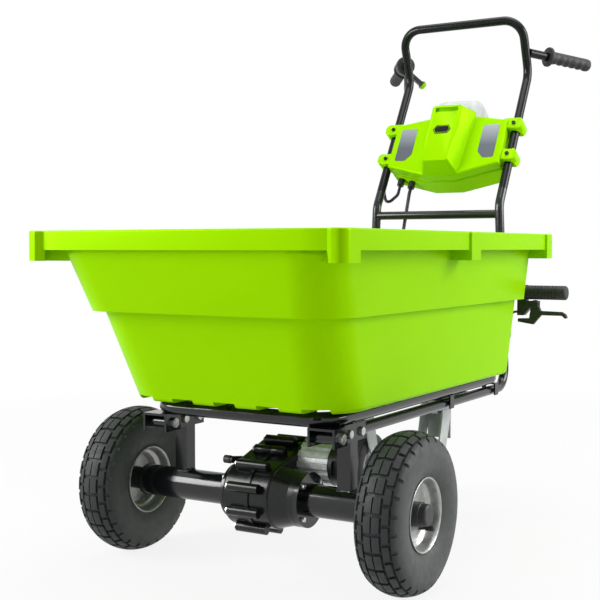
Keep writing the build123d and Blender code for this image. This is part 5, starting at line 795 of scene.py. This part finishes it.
floor_work = bmesh.new()
bmesh.ops.create_grid(floor_work, x_segments=8, y_segments=8, size=FLOOR_HALF)
floor_mesh = bpy.data.meshes.new("floor")
floor_work.to_mesh(floor_mesh)
floor_work.free()
floor_mesh.materials.append(studio_floor())
floor = bpy.data.objects.new("floor", floor_mesh)
bpy.context.scene.collection.objects.link(floor)
floor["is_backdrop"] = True

world = bpy.data.worlds.new("white_studio")
bpy.context.scene.world = world
world.use_nodes = True
sky = world.node_tree
backdrop = sky.nodes["Background"]
backdrop.inputs["Color"].default_value = WHITE
level = sky.nodes.new("ShaderNodeMapRange")
level.inputs["To Min"].default_value = AMBIENT
level.inputs["To Max"].default_value = 1.0
sky.links.new(seen_rays(sky), level.inputs["Value"])
sky.links.new(level.outputs["Result"], backdrop.inputs["Strength"])


def softbox(name, place, aim, size, watts):
    """A wide soft lamp that stands at a place and looks at a point."""
    lamp = bpy.data.lights.new(name, "AREA")
    lamp.shape = "RECTANGLE"
    lamp.size, lamp.size_y = size
    lamp.energy = watts
    stand = bpy.data.objects.new(name, lamp)
    stand.location = place
    stand.rotation_euler = (Vector(aim) - Vector(place)).to_track_quat("-Z", "Y").to_euler()
    bpy.context.scene.collection.objects.link(stand)


def dark_card(name, place, aim, size):
    """A black card that only shows in the gloss of the part, as beside a studio camera."""
    work = bmesh.new()
    bmesh.ops.create_grid(work, x_segments=1, y_segments=1, size=0.5)
    bmesh.ops.scale(work, vec=(*size, 1.0), verts=work.verts)
    turn = (Vector(aim) - Vector(place)).to_track_quat("Z", "Y").to_matrix().to_4x4()
    bmesh.ops.transform(work, matrix=Matrix.Translation(place) @ turn, verts=work.verts)
    mesh = bpy.data.meshes.new(name)
    work.to_mesh(mesh)
    work.free()
    mesh.materials.append(card_black)
    card = bpy.data.objects.new(name, mesh)
    bpy.context.scene.collection.objects.link(card)
    card.visible_camera = False
    card.visible_diffuse = False
    card.visible_shadow = False
    card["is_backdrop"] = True


card_black = textured_plastic("card_black", "040404", "070707", 0.8, 0.9)
dark_card("camera_card", place=(1.25, -2.45, 0.75), aim=(0.1, -0.4, 0.4), size=(1.1, 2.0))
for name, place, aim, size, watts in (
    ("key_left", (-1.7, -1.7, 1.3), (-0.1, -0.4, 0.45), (1.2, 1.2), 56.0),
    ("fill_right", (2.1, 0.9, 1.4), (0.2, 0.1, 0.45), (1.4, 1.4), 49.0),
    ("overhead", (0.2, 0.3, 3.0), (0.0, 0.0, 0.4), (2.4, 2.4), 56.0),
    ("front_low", (1.3, -2.7, 1.4), (0.0, -0.3, 0.3), (2.0, 1.6), 5.0),
):
    softbox(name, place, aim, size, watts)

# Camera at the photograph's place, its focal length and picture width in pixels
PICTURE_WIDTH, FOCAL_LENGTH, SENSOR_MM = 600, 1128.5, 36.0
CAMERA_PLACE = (1.0479, -2.0194, 0.5574)
CAMERA_DIP, CAMERA_TURN = 2.64, 30.84
camera_data = bpy.data.cameras.new("camera")
camera_data.sensor_width = SENSOR_MM
camera_data.lens = FOCAL_LENGTH / PICTURE_WIDTH * SENSOR_MM
camera = bpy.data.objects.new("camera", camera_data)
camera.location = CAMERA_PLACE
camera.rotation_euler = (radians(90 - CAMERA_DIP), 0.0, radians(CAMERA_TURN))
bpy.context.scene.collection.objects.link(camera)
bpy.context.scene.camera = camera
bpy.context.scene.view_settings.view_transform = "Standard"

low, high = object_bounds()
